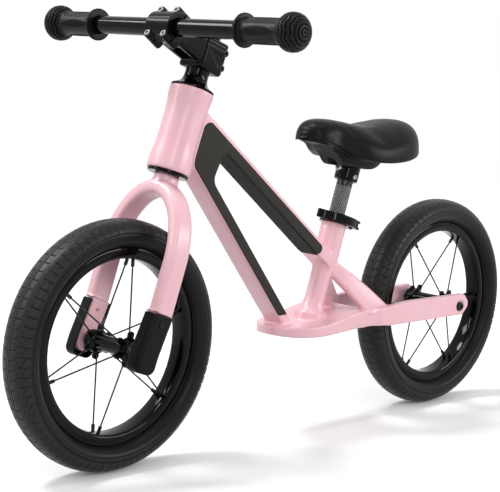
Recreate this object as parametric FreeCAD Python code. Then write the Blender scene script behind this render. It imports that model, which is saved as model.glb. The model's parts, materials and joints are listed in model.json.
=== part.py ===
import FreeCAD, Part
import math
import os

Vector = FreeCAD.Vector

# A child's balance bike. Millimetres and degrees. +X points ahead, +Y to the rider's left and +Z up.
# The origin is on the ground, midway between the two axles.

# ---------------------------------------------------------------- driving dimensions: wheels
WHEELBASE = 620.0
TYRE_RADIUS = 153.0
TYRE_WIDTH = 47.0
TYRE_WALL = 4.0
TREAD_GROOVE_DEPTH = 1.6
TREAD_GROOVE_WIDTH = 2.0
TREAD_GROOVE_SPACING = 6.5
TYRE_DEPTH = 47.5
RIM_HOLE_RADIUS = TYRE_RADIUS - TYRE_DEPTH
RIM_HEIGHT = 14.0
RIM_WIDTH = 27.0
RIM_WALL = 2.2
SPOKE_PAIRS = 6
SPOKE_RADIUS = 1.0
SPOKE_STAGGER = 4.2
NIPPLE_RADIUS = 2.2
NIPPLE_LENGTH = 13.0
FRONT_SPOKE_ANGLE = 12.0
REAR_SPOKE_ANGLE = 30.0
FLANGE_OFFSET = 27.4
FLANGE_THICKNESS = 3.2
FLANGE_RADIUS = 14.5
LOBE_CIRCLE_RADIUS = 17.5
LOBE_RADIUS = 4.2
HUB_BARREL_RADIUS = 10.0
HUB_BOSS_RADIUS = 13.5
HUB_BOSS_END = 38.0
HUB_RIBS = 3
BEARING_OUTER_RADIUS = 11.0
BEARING_WIDTH = 6.0
AXLE_RADIUS = 5.0
AXLE_BOLT_RADIUS = 3.0
AXLE_BOLT_GRIP = 14.0
AXLE_BOLT_HEAD_RADIUS = 6.6
AXLE_BOLT_HEAD_HEIGHT = 3.6
WASHER_RADIUS = 8.0
WASHER_THICKNESS = 1.2
REAR_RECESS = 2.4
SPACER_RADIUS = 7.5
VALVE_RADIUS = 3.0
VALVE_LENGTH = 22.0
TUBE_WALL = 1.5
TUBE_HALF_WIDTH = 19.0
TUBE_HALF_HEIGHT = 14.0
NIPPLE_HEAD_LIFT = 0.9
BEARING_INSET = 0.4
FRONT_VALVE_ANGLE = 54.0
REAR_VALVE_ANGLE = -101.0

# ---------------------------------------------------------------- driving dimensions: steering
HEAD_ANGLE = 18.9
FORK_RAKE = 5.8
FORK_LENGTH = 219.7
HEAD_TUBE_LENGTH = 105.0
HEAD_TUBE_RADIUS = 27.6
HEAD_TUBE_WAIST = 25.1
HEAD_TUBE_EDGE = 1.2
HEAD_TUBE_WAIST_PLACE = 0.53
HEAD_BEARING_RADIUS = 20.5
HEAD_BEARING_WIDTH = 7.0
STEERER_RADIUS = 12.7
STEERER_WALL = 1.8
CROWN_SEAL_THICKNESS = 3.6
CROWN_SEAL_RADIUS = 25.5
CROWN_TOP_RADIUS = 15.5
CROWN_BASE_RADIUS = 17.0
CROWN_HEIGHT = 27.0
LEG_DEPTH = 30.0
LEG_THICKNESS = 18.0
LEG_CORNER = 7.0
ARCH_HEIGHT = 86.0
ARCH_STEPS = 8
CROWN_LEAD = 3.0
FORK_HALF_GAP = 48.0
DROPOUT_THICKNESS = 12.0
DROPOUT_DEPTH = 26.0
LEG_COVER_LENGTH = 71.0
LEG_COVER_BELOW_AXLE = 23.5
LEG_COVER_WALL = 2.0
LEG_COVER_DEPTH = 32.0
LEG_COVER_THICKNESS = 19.7
COVER_SCREW_RADIUS = 2.0
COVER_SCREW_DROP = 12.0
HEADSET_COVER_HEIGHT = 25.0
HEADSET_COVER_TOP_RADIUS = 15.0
STEM_HEIGHT = 42.0
STEM_WIDTH = 40.0
STEM_DEPTH = 41.0
STEM_REACH = 66.1
BAR_RISE = 29.9
BAR_CLAMP_RADIUS = 21.0
BAR_CLAMP_TILT = 16.0
BAR_CLAMP_GAP = 1.0
FACE_BOLT_RADIUS = 2.5
FACE_BOLT_SPACING = 28.0
FACE_BOLT_OFFSET = 17.0
PINCH_BOLT_RADIUS = 2.5
TOP_CAP_THICKNESS = 4.0
CAP_BOLT_RADIUS = 3.0
BAR_RADIUS = 11.1
BAR_WALL = 2.0
BAR_LENGTH = 436.0
GRIP_LENGTH = 94.3
GRIP_RADIUS = 14.3
GRIP_FLANGE_RADIUS = 20.0
GRIP_FLANGE_THICKNESS = 4.0
GRIP_BULB_RADIUS = 22.5
GRIP_END_WALL = 3.0

# ---------------------------------------------------------------- driving dimensions: frame
FRAME_WIDTH = 34.0
UPPER_BEAM_DEPTH = 18.4
LOWER_BEAM_DEPTH = 14.6
UPPER_BEAM_HEAD_HEIGHT = 83.0
LOWER_BEAM_HEAD_HEIGHT = 37.7
WEB_REACH_TOP = 70.0
WEB_REACH_BOTTOM = 60.0
WEB_CORNER = 9.0
BEAM_EDGE_RADIUS = 5.0
INLAY_THICKNESS = 1.2
INLAY_RIM = 5.0
INLAY_FRONT_RIM = 1.6
INLAY_HEAD_OFFSET = 21.0
INLAY_CORNER = 12.0
PLATFORM_HEIGHT = 150.0
LOWER_BEAM_FOOT_X = 20.0
BEAM_FOOT_RISE = 3.0
BEAM_FOOT_MARGIN = 0.8
SEAT_FOOT_X = -39.6
SEAT_ANGLE = 17.2
SEAT_TUBE_TOP = 136.0
SEAT_TUBE_RADIUS = 17.5
SEAT_TUBE_DEPTH = 105.0
SEAT_SLIT_WIDTH = 2.4
SEAT_SLIT_LENGTH = 8.0
UPPER_BEAM_SEAT_DROP = 52.7
COLUMN_RADIUS = 14.0
COLUMN_FLARE = 9.0
FOOT_FRONT_X = 47.0
FOOT_HALF_WIDTH = 52.0
FOOT_BRIDGE_X = -108.0
FOOT_BOTTOM = 137.0
FOOT_RIM_TOP = 151.0
STAY_THICKNESS = 11.0
STAY_HALF_GAP = 45.0
STAY_HEIGHT = 31.0
STAY_RISE = 2.5
STAY_END = 18.0
SEAT_STAY_TOP_DROP = 56.0
SEAT_STAY_FOOT_X = -128.0
SEAT_STAY_TOP_DEPTH = 19.0
SEAT_STAY_FOOT_DEPTH = 52.0
SEAT_STAY_THICKNESS = 12.0

# ---------------------------------------------------------------- driving dimensions: seat
POST_RADIUS = 11.1
POST_WALL = 2.0
POST_INSERTION = 72.0
POST_EXPOSED = 62.0
SEAT_NECK = 12.5
COLLAR_WALL = 3.6
COLLAR_HEIGHT = 14.0
COLLAR_GAP = 4.0
LUG_HALF_WIDTH = 8.0
LUG_END = 32.0
QR_BEHIND = 26.0
QR_LEFT = 17.0
QR_BOLT_RADIUS = 2.5
QR_PIN_RADIUS = 2.0
QR_CAM_RADIUS = 5.2
QR_NUT_RADIUS = 6.0
QR_NUT_LENGTH = 7.0
QR_WASHER_RADIUS = 6.0
LEVER_THICKNESS = 4.6
LEVER_HEIGHT = 12.0
LEVER_TURN = 150.0
SADDLE_CLAMP_RADIUS = 16.5
SADDLE_CLAMP_HEIGHT = 24.0
SADDLE_CLAMP_WEB = 7.0
SADDLE_BOLT_RADIUS = 3.0
SADDLE_BOLT_RECESS = 2.4
SADDLE_BASE_WALL = 3.0
SADDLE_BASE_INSET = 3.0
SADDLE_BASE_LIFT = 1.0

# ---------------------------------------------------------------- fits and clearances
RUNNING_FIT = 0.05
SEAT_GAP = 0.3
THREAD_CLEARANCE = 0.3

# ---------------------------------------------------------------- places worked out from the sizes above
FRONT_AXLE = Vector(WHEELBASE / 2, 0, TYRE_RADIUS)
REAR_AXLE = Vector(-WHEELBASE / 2, 0, TYRE_RADIUS)
HEAD_UP = Vector(-math.sin(math.radians(HEAD_ANGLE)), 0, math.cos(math.radians(HEAD_ANGLE)))
HEAD_AHEAD = Vector(math.cos(math.radians(HEAD_ANGLE)), 0, math.sin(math.radians(HEAD_ANGLE)))
HEAD_BOTTOM = FRONT_AXLE - HEAD_AHEAD * FORK_RAKE + HEAD_UP * FORK_LENGTH
SEAT_UP = Vector(-math.sin(math.radians(SEAT_ANGLE)), 0, math.cos(math.radians(SEAT_ANGLE)))
SEAT_FOOT = Vector(SEAT_FOOT_X, 0, PLATFORM_HEIGHT)
SEAT_TOP = SEAT_FOOT + SEAT_UP * SEAT_TUBE_TOP
STEM_BOTTOM = HEAD_TUBE_LENGTH + SEAT_GAP + HEADSET_COVER_HEIGHT
STEM_TOP = STEM_BOTTOM + STEM_HEIGHT
BAR_HEIGHT = STEM_BOTTOM + BAR_RISE
CROWN_TOP = -SEAT_GAP - CROWN_SEAL_THICKNESS
STAY_OUTER = STAY_HALF_GAP + STAY_THICKNESS
DROPOUT_OUTER = FORK_HALF_GAP + DROPOUT_THICKNESS
LEG_MIDDLE = FORK_HALF_GAP + LEG_THICKNESS / 2 + 1


# ---------------------------------------------------------------- general helpers
def steering(ahead, left, up):
    """A point given along the steering axes, counted from the bottom of the head tube."""
    return HEAD_BOTTOM + HEAD_AHEAD * ahead + Vector(0, left, 0) + HEAD_UP * up


def place(shape, origin, lean):
    """A shape modelled upright at the origin, leaned back by lean degrees and moved to its place."""
    turn = FreeCAD.Placement(origin, FreeCAD.Rotation(Vector(0, 1, 0), -lean))
    moved = shape.copy()
    moved.Placement = turn.multiply(moved.Placement)
    return moved


def on_steering(shape):
    return place(shape, HEAD_BOTTOM, HEAD_ANGLE)


def on_seat_tube(shape):
    return place(shape, SEAT_TOP, SEAT_ANGLE)


def mirror_left_right(shape):
    return shape.mirror(Vector(0, 0, 0), Vector(0, 1, 0))


def cylinder(radius, start, end):
    """A round bar between two points."""
    along = end.sub(start)
    return Part.makeCylinder(radius, along.Length, start, along)


def tube(outer, inner, start, end):
    """A round tube between two points."""
    reach = end.sub(start)
    reach.normalize()
    return cylinder(outer, start, end).cut(cylinder(inner, start - reach, end + reach))


def box(low, high):
    size = high.sub(low)
    return Part.makeBox(size.x, size.y, size.z, low)


def polygon_face(points):
    return Part.Face(Part.makePolygon(list(points) + [points[0]]))


def turned_upright(points):
    """A solid turned about Z from (radius, height) points."""
    face = polygon_face([Vector(radius, 0, height) for radius, height in points])
    return face.revolve(Vector(0, 0, 0), Vector(0, 0, 1), 360)


def turned_crosswise(points):
    """A solid turned about Y from (radius, y) points."""
    face = polygon_face([Vector(radius, y, 0) for radius, y in points])
    return face.revolve(Vector(0, 0, 0), Vector(0, 1, 0), 360)


def smooth_face(outline):
    """A face from stretches of points; a stretch of more than two points is one smooth curve."""
    edges = []
    for stretch in outline:
        if len(stretch) == 2:
            edges.append(Part.makeLine(stretch[0], stretch[1]))
        else:
            curve = Part.BSplineCurve()
            curve.interpolate(stretch)
            edges.append(curve.toShape())
    return Part.Face(Part.Wire(edges))


def rounded_corners(face, convex, concave):
    """The face with its outward corners rounded by convex and its inward corners by concave."""
    result = face
    if concave > 0:
        result = result.makeOffset2D(concave).makeOffset2D(-concave)
    if convex > 0:
        result = result.makeOffset2D(-convex).makeOffset2D(convex)
    return result


def round_edges(solid, radius, wanted):
    """The solid with every edge that wanted(edge) names rounded."""
    edges = [edge for edge in solid.Edges if wanted(edge)]
    return solid.makeFillet(radius, edges)


def fused(shapes):
    """One clean solid from shapes that overlap."""
    result = shapes[0].multiFuse(shapes[1:]).removeSplitter()
    solids = result.Solids
    if len(solids) != 1:
        raise ValueError("the shapes don't join into one solid")
    return solids[0]


def rounded_rectangle(middle, across, along, width, depth, corner):
    """A closed wire: a rectangle with rounded corners in the plane of across and along."""
    corner = min(corner, width / 2 - 0.01, depth / 2 - 0.01)
    half_w = width / 2 - corner
    half_d = depth / 2 - corner
    diagonal = corner * math.sqrt(0.5)
    edges = []
    corners = [(1, 1), (-1, 1), (-1, -1), (1, -1)]
    points = []
    for index, (sign_w, sign_d) in enumerate(corners):
        heart = middle + across * (sign_w * half_w) + along * (sign_d * half_d)
        side_w = heart + across * (sign_w * corner)
        side_d = heart + along * (sign_d * corner)
        bulge = heart + across * (sign_w * diagonal) + along * (sign_d * diagonal)
        first, last = (side_w, side_d) if index % 2 == 0 else (side_d, side_w)
        points.append((first, bulge, last))
    for index, (first, bulge, last) in enumerate(points):
        edges.append(Part.Arc(first, bulge, last).toShape())
        edges.append(Part.makeLine(last, points[(index + 1) % 4][0]))
    return Part.Wire(edges)


def hex_socket(across_flats, depth, top, outward):
    """The hollow of a hexagon socket that opens at top towards outward."""
    radius = across_flats / math.sqrt(3)
    side = Vector(0, 1, 0) if abs(outward.y) < 0.9 else Vector(1, 0, 0)
    first = outward.cross(side)
    first.normalize()
    second = outward.cross(first)
    corners = []
    for index in range(6):
        angle = math.radians(60 * index)
        corners.append(top + first * (radius * math.cos(angle)) + second * (radius * math.sin(angle)))
    return polygon_face(corners).extrude(outward * -depth)


def bolt(head_centre, outward, shank_radius, shank_length, head_radius, head_height, domed):
    """A socket-head bolt: head_centre is the middle of the face under the head, outward its direction."""
    top = head_centre + outward * head_height
    head = cylinder(head_radius, head_centre, top)
    far_edges = [edge for edge in head.Edges if edge.Closed and (edge.CenterOfMass - top).Length < 0.1]
    head = head.makeFillet(head_height * (0.7 if domed else 0.15), far_edges)
    shank = cylinder(shank_radius, head_centre - outward * shank_length, head_centre)
    socket = hex_socket(head_radius * 0.8, head_height * 0.6, top + outward * 0.01, outward)
    return head.fuse(shank).cut(socket).removeSplitter().Solids[0]


def export(name, shape):
    """Write one node's STEP file."""
    if not shape.isValid():
        raise ValueError(name + " is not a valid shape")
    shape.exportStep("parts/" + name + ".step")


# ---------------------------------------------------------------- frame
def seat_axis_point(drop):
    """The point on the seat tube's axis that lies drop below its top."""
    return SEAT_TOP - SEAT_UP * drop


def beam_directions():
    """Start, unit direction and upward normal of the upper beam, then of the lower beam, running down."""
    upper_start = steering(0, 0, UPPER_BEAM_HEAD_HEIGHT)
    upper_end = seat_axis_point(UPPER_BEAM_SEAT_DROP)
    lower_start = steering(0, 0, LOWER_BEAM_HEAD_HEIGHT)
    lower_end = Vector(LOWER_BEAM_FOOT_X, 0, PLATFORM_HEIGHT)
    result = []
    for start, end in ((upper_start, upper_end), (lower_start, lower_end)):
        run = end.sub(start)
        run.normalize()
        normal = Vector(run.z, 0, -run.x)
        result.append((start, end, run, normal))
    return result


def line_crossing(point_a, run_a, point_b, run_b):
    """Where two lines in the XZ plane cross."""
    between = point_b.sub(point_a)
    determinant = run_a.x * run_b.z - run_a.z * run_b.x
    along = (between.x * run_b.z - between.z * run_b.x) / determinant
    return point_a + run_a * along


def beam_outline(lining):
    """The side outline of the V of beams; lining is how far the sides of the triangle are set back."""
    upper, lower = beam_directions()
    upper_top = upper[0] + upper[3] * (UPPER_BEAM_DEPTH / 2)
    upper_under = upper[0] - upper[3] * (UPPER_BEAM_DEPTH / 2 - lining)
    lower_back = lower[0] + lower[3] * (LOWER_BEAM_DEPTH / 2 - lining)
    lower_front = lower[0] - lower[3] * (LOWER_BEAM_DEPTH / 2)
    web_top = steering(-WEB_REACH_TOP + lining, 0, UPPER_BEAM_HEAD_HEIGHT)
    web_run = steering(-WEB_REACH_BOTTOM + lining, 0, 0).sub(web_top)
    across = Vector(upper[3])
    foot_level = Vector(0, 0, PLATFORM_HEIGHT)
    level = Vector(1, 0, 0)
    return [
        line_crossing(upper_top, upper[2], steering(-10, 0, 0), HEAD_UP),
        upper[1] + across * (UPPER_BEAM_DEPTH / 2),
        upper[1] - across * (UPPER_BEAM_DEPTH / 2 - lining),
        line_crossing(upper_under, upper[2], web_top, web_run),
        line_crossing(lower_back, lower[2], web_top, web_run),
        line_crossing(lower_back, lower[2], foot_level, level),
        line_crossing(lower_front, lower[2], foot_level, level),
        line_crossing(lower_front, lower[2], steering(-10, 0, 0), HEAD_UP),
    ]


def beam_solid():
    """The V of flat beams with its web, edges rounded, before the inlays are cut out of it."""
    face = rounded_corners(polygon_face(beam_outline(0)), 0, WEB_CORNER)
    half = FRAME_WIDTH / 2
    face.translate(Vector(0, -half, 0))
    solid = face.extrude(Vector(0, FRAME_WIDTH, 0))
    upper, lower = beam_directions()

    def outer_edge(edge):
        middle = edge.CenterOfMass
        if abs(abs(middle.y) - half) > 0.01:
            return False
        above = middle.sub(upper[0]).dot(upper[3])
        ahead = middle.sub(lower[0]).dot(lower[3])
        on_top = abs(above - UPPER_BEAM_DEPTH / 2) < 0.5
        on_front = abs(ahead + LOWER_BEAM_DEPTH / 2) < 0.5
        return on_top or on_front

    return round_edges(solid, BEAM_EDGE_RADIUS, outer_edge)


def beam_foot():
    """The low plinth round the lower beam's foot, so that nothing leans over the flat footrest."""
    lower = beam_directions()[1]
    top = FOOT_RIM_TOP + BEAM_FOOT_RISE
    level = Vector(1, 0, 0)
    depth = lower[3] * (LOWER_BEAM_DEPTH / 2)
    front = line_crossing(lower[0] - depth, lower[2], Vector(0, 0, top), level)
    back = line_crossing(lower[0] + depth, lower[2], Vector(0, 0, FOOT_RIM_TOP), level)
    margin = Vector(BEAM_FOOT_MARGIN, FRAME_WIDTH / 2 + BEAM_FOOT_MARGIN, 0)
    plinth = box(Vector(back.x, 0, FOOT_BOTTOM + 5) - margin, Vector(front.x, 0, top) + margin)

    def upright(edge):
        return abs(edge.BoundBox.ZLength - (top - FOOT_BOTTOM - 5)) < 0.01

    return round_edges(plinth, BEAM_EDGE_RADIUS, upright)


def inlay_cutter():
    """The space that the two inlays fill: a shallow step in each side of the V and a lining inside it."""
    upper, lower = beam_directions()
    top_line = upper[0] + upper[3] * (UPPER_BEAM_DEPTH / 2 - INLAY_RIM)
    front_line = lower[0] - lower[3] * (LOWER_BEAM_DEPTH / 2 - INLAY_FRONT_RIM)
    head_line = steering(-INLAY_HEAD_OFFSET, 0, 0)
    tip = upper[1] - upper[2] * (SEAT_TUBE_RADIUS + 14)
    inside = SEAT_TUBE_TOP
    outline = [
        line_crossing(top_line, upper[2], head_line, HEAD_UP),
        tip + upper[3] * (UPPER_BEAM_DEPTH / 2 - INLAY_RIM),
        tip - upper[3] * UPPER_BEAM_DEPTH,
        line_crossing(tip - upper[3] * UPPER_BEAM_DEPTH, upper[2], steering(-inside, 0, 0), HEAD_UP),
    ]
    foot = Vector(0, 0, PLATFORM_HEIGHT + FOOT_RIM_TOP - FOOT_BOTTOM)
    level = Vector(1, 0, 0)
    back_line = lower[0] + lower[3] * (LOWER_BEAM_DEPTH * 1.5)
    outline.append(line_crossing(back_line, lower[2], foot, level))
    outline.append(line_crossing(front_line, lower[2], foot, level))
    outline.append(line_crossing(front_line, lower[2], head_line, HEAD_UP))
    face = rounded_corners(polygon_face(outline), INLAY_CORNER / 2, 0)
    face.translate(Vector(0, -FRAME_WIDTH, 0))
    whole = face.extrude(Vector(0, 2 * FRAME_WIDTH, 0))
    core_face = rounded_corners(polygon_face(beam_outline(INLAY_THICKNESS)), 0, WEB_CORNER)
    core_half = FRAME_WIDTH / 2 - INLAY_THICKNESS
    core_face.translate(Vector(0, -core_half, 0))
    core = core_face.extrude(Vector(0, 2 * core_half, 0))
    return whole.cut(core)


def head_tube():
    """The hourglass head tube, without its bores, in its own upright frame."""
    length = HEAD_TUBE_LENGTH
    edge = HEAD_TUBE_EDGE
    steps = 12
    outside = []
    for index in range(steps + 1):
        height = edge + (length - 2 * edge) * index / steps
        away = abs(height - length * HEAD_TUBE_WAIST_PLACE) / (length * HEAD_TUBE_WAIST_PLACE)
        flare = min(1, max(0, (away - 0.3) / 0.55))
        blend = flare * flare * (3 - 2 * flare)
        outside.append(Vector(HEAD_TUBE_WAIST + (HEAD_TUBE_RADIUS - HEAD_TUBE_WAIST) * blend, 0, height))
    top = Vector(HEAD_TUBE_RADIUS - edge, 0, length)
    bottom = Vector(HEAD_TUBE_RADIUS - edge, 0, 0)
    face = smooth_face([
        outside,
        [outside[-1], top],
        [top, Vector(0, 0, length)],
        [Vector(0, 0, length), Vector(0, 0, 0)],
        [Vector(0, 0, 0), bottom],
        [bottom, outside[0]],
    ])
    return face.revolve(Vector(0, 0, 0), Vector(0, 0, 1), 360)


def head_tube_bores():
    """What the bearings and the steerer need free inside the head tube, in its upright frame."""
    top = HEAD_TUBE_LENGTH
    middle = cylinder(STEERER_RADIUS + 2.5, Vector(0, 0, -1), Vector(0, 0, top + 1))
    lower = cylinder(HEAD_BEARING_RADIUS, Vector(0, 0, -1), Vector(0, 0, HEAD_BEARING_WIDTH))
    upper = cylinder(HEAD_BEARING_RADIUS, Vector(0, 0, top - HEAD_BEARING_WIDTH), Vector(0, 0, top + 1))
    return middle.multiFuse([lower, upper])


def seat_tube_and_column():
    """The thick seat tube above and the slimmer column down to the footrest, in the seat tube's frame."""
    blend_top = -UPPER_BEAM_SEAT_DROP + 2
    blend_bottom = blend_top - 16
    foot = -SEAT_TUBE_TOP
    return turned_upright([
        (0, SEAT_NECK),
        (SEAT_TUBE_RADIUS - 0.6, SEAT_NECK),
        (SEAT_TUBE_RADIUS, SEAT_NECK - 0.6),
        (SEAT_TUBE_RADIUS, blend_top),
        (COLUMN_RADIUS, blend_bottom),
        (COLUMN_RADIUS, foot + 30),
        (COLUMN_RADIUS + COLUMN_FLARE * 0.12, foot + 22),
        (COLUMN_RADIUS + COLUMN_FLARE * 0.4, foot + 15),
        (COLUMN_RADIUS + COLUMN_FLARE, foot + 8),
        (COLUMN_RADIUS + COLUMN_FLARE, foot - 4),
        (0, foot - 4),
    ])


def footrest_outline():
    """Half of the plan of the footrest and one stay, seen from above."""
    tail = REAR_AXLE.x - STAY_END
    nose = [
        Vector(FOOT_FRONT_X, 0, 0),
        Vector(FOOT_FRONT_X - 5, FOOT_HALF_WIDTH * 0.36, 0),
        Vector(FOOT_FRONT_X - 28, FOOT_HALF_WIDTH * 0.74, 0),
        Vector(FOOT_FRONT_X - 75, FOOT_HALF_WIDTH * 0.97, 0),
        Vector(FOOT_BRIDGE_X - 20, STAY_OUTER, 0),
    ]
    inner = [
        Vector(FOOT_BRIDGE_X - 42, STAY_HALF_GAP, 0),
        Vector(FOOT_BRIDGE_X - 18, STAY_HALF_GAP - 8, 0),
        Vector(FOOT_BRIDGE_X - 2, STAY_HALF_GAP - 26, 0),
        Vector(FOOT_BRIDGE_X, 0, 0),
    ]
    return smooth_face([
        nose,
        [nose[-1], Vector(tail, STAY_OUTER, 0)],
        [Vector(tail, STAY_OUTER, 0), Vector(tail, STAY_HALF_GAP, 0)],
        [Vector(tail, STAY_HALF_GAP, 0), inner[0]],
        inner,
        [inner[-1], nose[0]],
    ])


def footrest_side():
    """The side outline of the footrest and stays, as a thick slab across the bike."""
    stay_top = TYRE_RADIUS + STAY_RISE + STAY_HEIGHT / 2
    stay_bottom = TYRE_RADIUS + STAY_RISE - STAY_HEIGHT / 2
    tail = REAR_AXLE.x - STAY_END
    round_end = STAY_HEIGHT * 0.35
    top = [
        Vector(FOOT_BRIDGE_X - 80, 0, stay_top),
        Vector(FOOT_BRIDGE_X - 30, 0, stay_top - 3),
        Vector(FOOT_BRIDGE_X + 40, 0, stay_top - 9.5),
        Vector(FOOT_FRONT_X - 80, 0, FOOT_RIM_TOP + 3.5),
        Vector(FOOT_FRONT_X - 45, 0, FOOT_RIM_TOP),
    ]
    front = Vector(FOOT_FRONT_X + 1, 0, FOOT_RIM_TOP)
    bottom = [
        Vector(FOOT_FRONT_X + 1, 0, FOOT_BOTTOM + 3),
        Vector(FOOT_FRONT_X - 60, 0, FOOT_BOTTOM),
        Vector(FOOT_BRIDGE_X + 50, 0, FOOT_BOTTOM + 3),
        Vector(FOOT_BRIDGE_X - 40, 0, stay_bottom),
    ]
    face = smooth_face([
        [Vector(tail, 0, stay_bottom + round_end), Vector(tail, 0, stay_top - round_end)],
        [Vector(tail, 0, stay_top - round_end), Vector(tail + round_end, 0, stay_top)],
        [Vector(tail + round_end, 0, stay_top), top[0]],
        top,
        [top[-1], front],
        [front, bottom[0]],
        bottom,
        [bottom[-1], Vector(tail + round_end, 0, stay_bottom)],
        [Vector(tail + round_end, 0, stay_bottom), Vector(tail, 0, stay_bottom + round_end)],
    ])
    reach = STAY_OUTER + 10
    face.translate(Vector(0, -reach, 0))
    return face.extrude(Vector(0, 2 * reach, 0))


def footrest_and_stays():
    """The broad footrest with its two stays, one flat-sided piece."""
    half = footrest_outline().extrude(Vector(0, 0, TYRE_RADIUS * 2))
    plan = half.fuse(mirror_left_right(half)).removeSplitter()
    body = plan.common(footrest_side()).removeSplitter().Solids[0]
    return body


def seat_stay():
    """The left seat stay: it widens on its way down and out to the stay below it."""
    top = seat_axis_point(SEAT_STAY_TOP_DROP)
    foot_height = TYRE_RADIUS + STAY_RISE + STAY_HEIGHT / 2 - 10
    foot = Vector(SEAT_STAY_FOOT_X, STAY_OUTER - SEAT_STAY_THICKNESS / 2 - 1, foot_height)
    start = Vector(top.x, SEAT_STAY_THICKNESS / 2, top.z)
    across = Vector(0, 1, 0)
    sloping = Vector(0.43, 0, -0.9)
    level = Vector(1, 0, 0)
    middle = start * 0.5 + foot * 0.5 + Vector(-2, 1, 0)
    middle_depth = SEAT_STAY_TOP_DEPTH * 0.7 + SEAT_STAY_FOOT_DEPTH * 0.3
    slant = Vector(0.8, 0, -0.6)
    sections = [
        rounded_rectangle(start, across, sloping, SEAT_STAY_THICKNESS, SEAT_STAY_TOP_DEPTH, 4),
        rounded_rectangle(middle, across, slant, SEAT_STAY_THICKNESS, middle_depth, 4),
        rounded_rectangle(foot, across, level, SEAT_STAY_THICKNESS, SEAT_STAY_FOOT_DEPTH, 4),
    ]
    return Part.makeLoft(sections, True, False)


def frame_cuts():
    """Everything bored or sawn out of the casting, apart from the inlays."""
    bore_top = Vector(0, 0, SEAT_NECK + 1)
    seat_bore = cylinder(POST_RADIUS + RUNNING_FIT, bore_top, Vector(0, 0, -SEAT_TUBE_DEPTH))
    slit = box(
        Vector(0, -SEAT_SLIT_WIDTH / 2, -SEAT_SLIT_LENGTH),
        Vector(SEAT_TUBE_RADIUS + 5, SEAT_SLIT_WIDTH / 2, SEAT_NECK + 1),
    )
    cuts = [on_steering(head_tube_bores()), on_seat_tube(seat_bore), on_seat_tube(slit)]
    reach = Vector(0, STAY_OUTER + 5, 0)
    hole = AXLE_BOLT_RADIUS + THREAD_CLEARANCE
    cuts.append(cylinder(hole, REAR_AXLE - reach, REAR_AXLE + reach))
    for side in (-1, 1):
        outward = Vector(0, side, 0)
        face = REAR_AXLE + outward * STAY_OUTER
        cuts.append(cylinder(WASHER_RADIUS + 1.2, face - outward * REAR_RECESS, face + outward))
    return cuts


def make_frame():
    """The casting and its two inlays."""
    beams = beam_solid()
    inlay_space = inlay_cutter()
    upright = on_seat_tube(seat_tube_and_column())
    shared = [on_steering(head_tube()), upright, footrest_and_stays(), beam_foot()]
    stay = seat_stay()
    shared.append(stay)
    shared.append(mirror_left_right(stay))
    rest = fused(shared[1:])
    inlay = beams.common(inlay_space).cut(rest).cut(shared[0])
    casting = fused([beams.cut(inlay_space), shared[0], rest])
    casting = casting.cut(inlay)
    for cut in frame_cuts():
        casting = casting.cut(cut)
    casting = casting.removeSplitter()
    big = 1000
    left_half = box(Vector(-big, 0, -big), Vector(big, big, big))
    left = inlay.common(left_half)
    right = inlay.cut(left_half)
    return biggest_solid(casting), biggest_solid(left), biggest_solid(right)


def biggest_solid(shape):
    return max(shape.Solids, key=lambda solid: solid.Volume)


# ---------------------------------------------------------------- headset and fork
def make_head_bearing(bottom):
    """A headset cartridge bearing whose lower face is at height bottom on the steering axis."""
    outer = HEAD_BEARING_RADIUS
    inner = STEERER_RADIUS
    low = bottom
    high = bottom + HEAD_BEARING_WIDTH
    shield = 0.6
    profile = [
        (inner, low),
        (inner + 2, low),
        (inner + 2, low + shield),
        (outer - 2, low + shield),
        (outer - 2, low),
        (outer, low),
        (outer, high),
        (outer - 2, high),
        (outer - 2, high - shield),
        (inner + 2, high - shield),
        (inner + 2, high),
        (inner, high),
    ]
    widened = [(radius + RUNNING_FIT if radius == inner else radius, height) for radius, height in profile]
    return on_steering(turned_upright(widened))


def make_crown_seal():
    """The dark ring between the head tube and the fork crown."""
    bore = STEERER_RADIUS
    return on_steering(turned_upright([
        (bore, CROWN_TOP),
        (CROWN_SEAL_RADIUS - 1, CROWN_TOP),
        (CROWN_SEAL_RADIUS, CROWN_TOP + 1),
        (CROWN_SEAL_RADIUS, -SEAT_GAP),
        (bore, -SEAT_GAP),
    ]))


def make_headset_cover():
    """The glossy hollow-sided cone under the stem."""
    base = HEAD_TUBE_LENGTH + SEAT_GAP
    top = base + HEADSET_COVER_HEIGHT
    bore = STEERER_RADIUS
    rim = HEAD_TUBE_RADIUS - 0.6
    neck = HEADSET_COVER_TOP_RADIUS
    outside = [
        Vector(rim, 0, base + 1.8),
        Vector(rim - 4.5, 0, base + 4.4),
        Vector(neck + 1.6, 0, base + 9.5),
        Vector(neck, 0, base + 15),
        Vector(neck, 0, top),
    ]
    face = smooth_face([
        [Vector(bore, 0, base), Vector(rim, 0, base)],
        [Vector(rim, 0, base), outside[0]],
        outside,
        [outside[-1], Vector(bore, 0, top)],
        [Vector(bore, 0, top), Vector(bore, 0, base)],
    ])
    return on_steering(face.revolve(Vector(0, 0, 0), Vector(0, 0, 1), 360))


def make_steerer():
    """The steel tube that is pressed into the crown and carries the stem."""
    start = Vector(0, 0, CROWN_TOP - CROWN_HEIGHT * 0.7)
    end = Vector(0, 0, STEM_TOP - 2)
    return on_steering(tube(STEERER_RADIUS, STEERER_RADIUS - STEERER_WALL, start, end))


def crown_middle():
    """The middle of the crown's arch, in the steering frame."""
    return Vector(CROWN_LEAD, 0, CROWN_TOP - CROWN_HEIGHT * 0.66)


def leg_end():
    """The middle of the left leg's end at the top of its cover, in the steering frame."""
    return Vector(FORK_RAKE, LEG_MIDDLE, -FORK_LENGTH - LEG_COVER_BELOW_AXLE + LEG_COVER_LENGTH)


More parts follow.
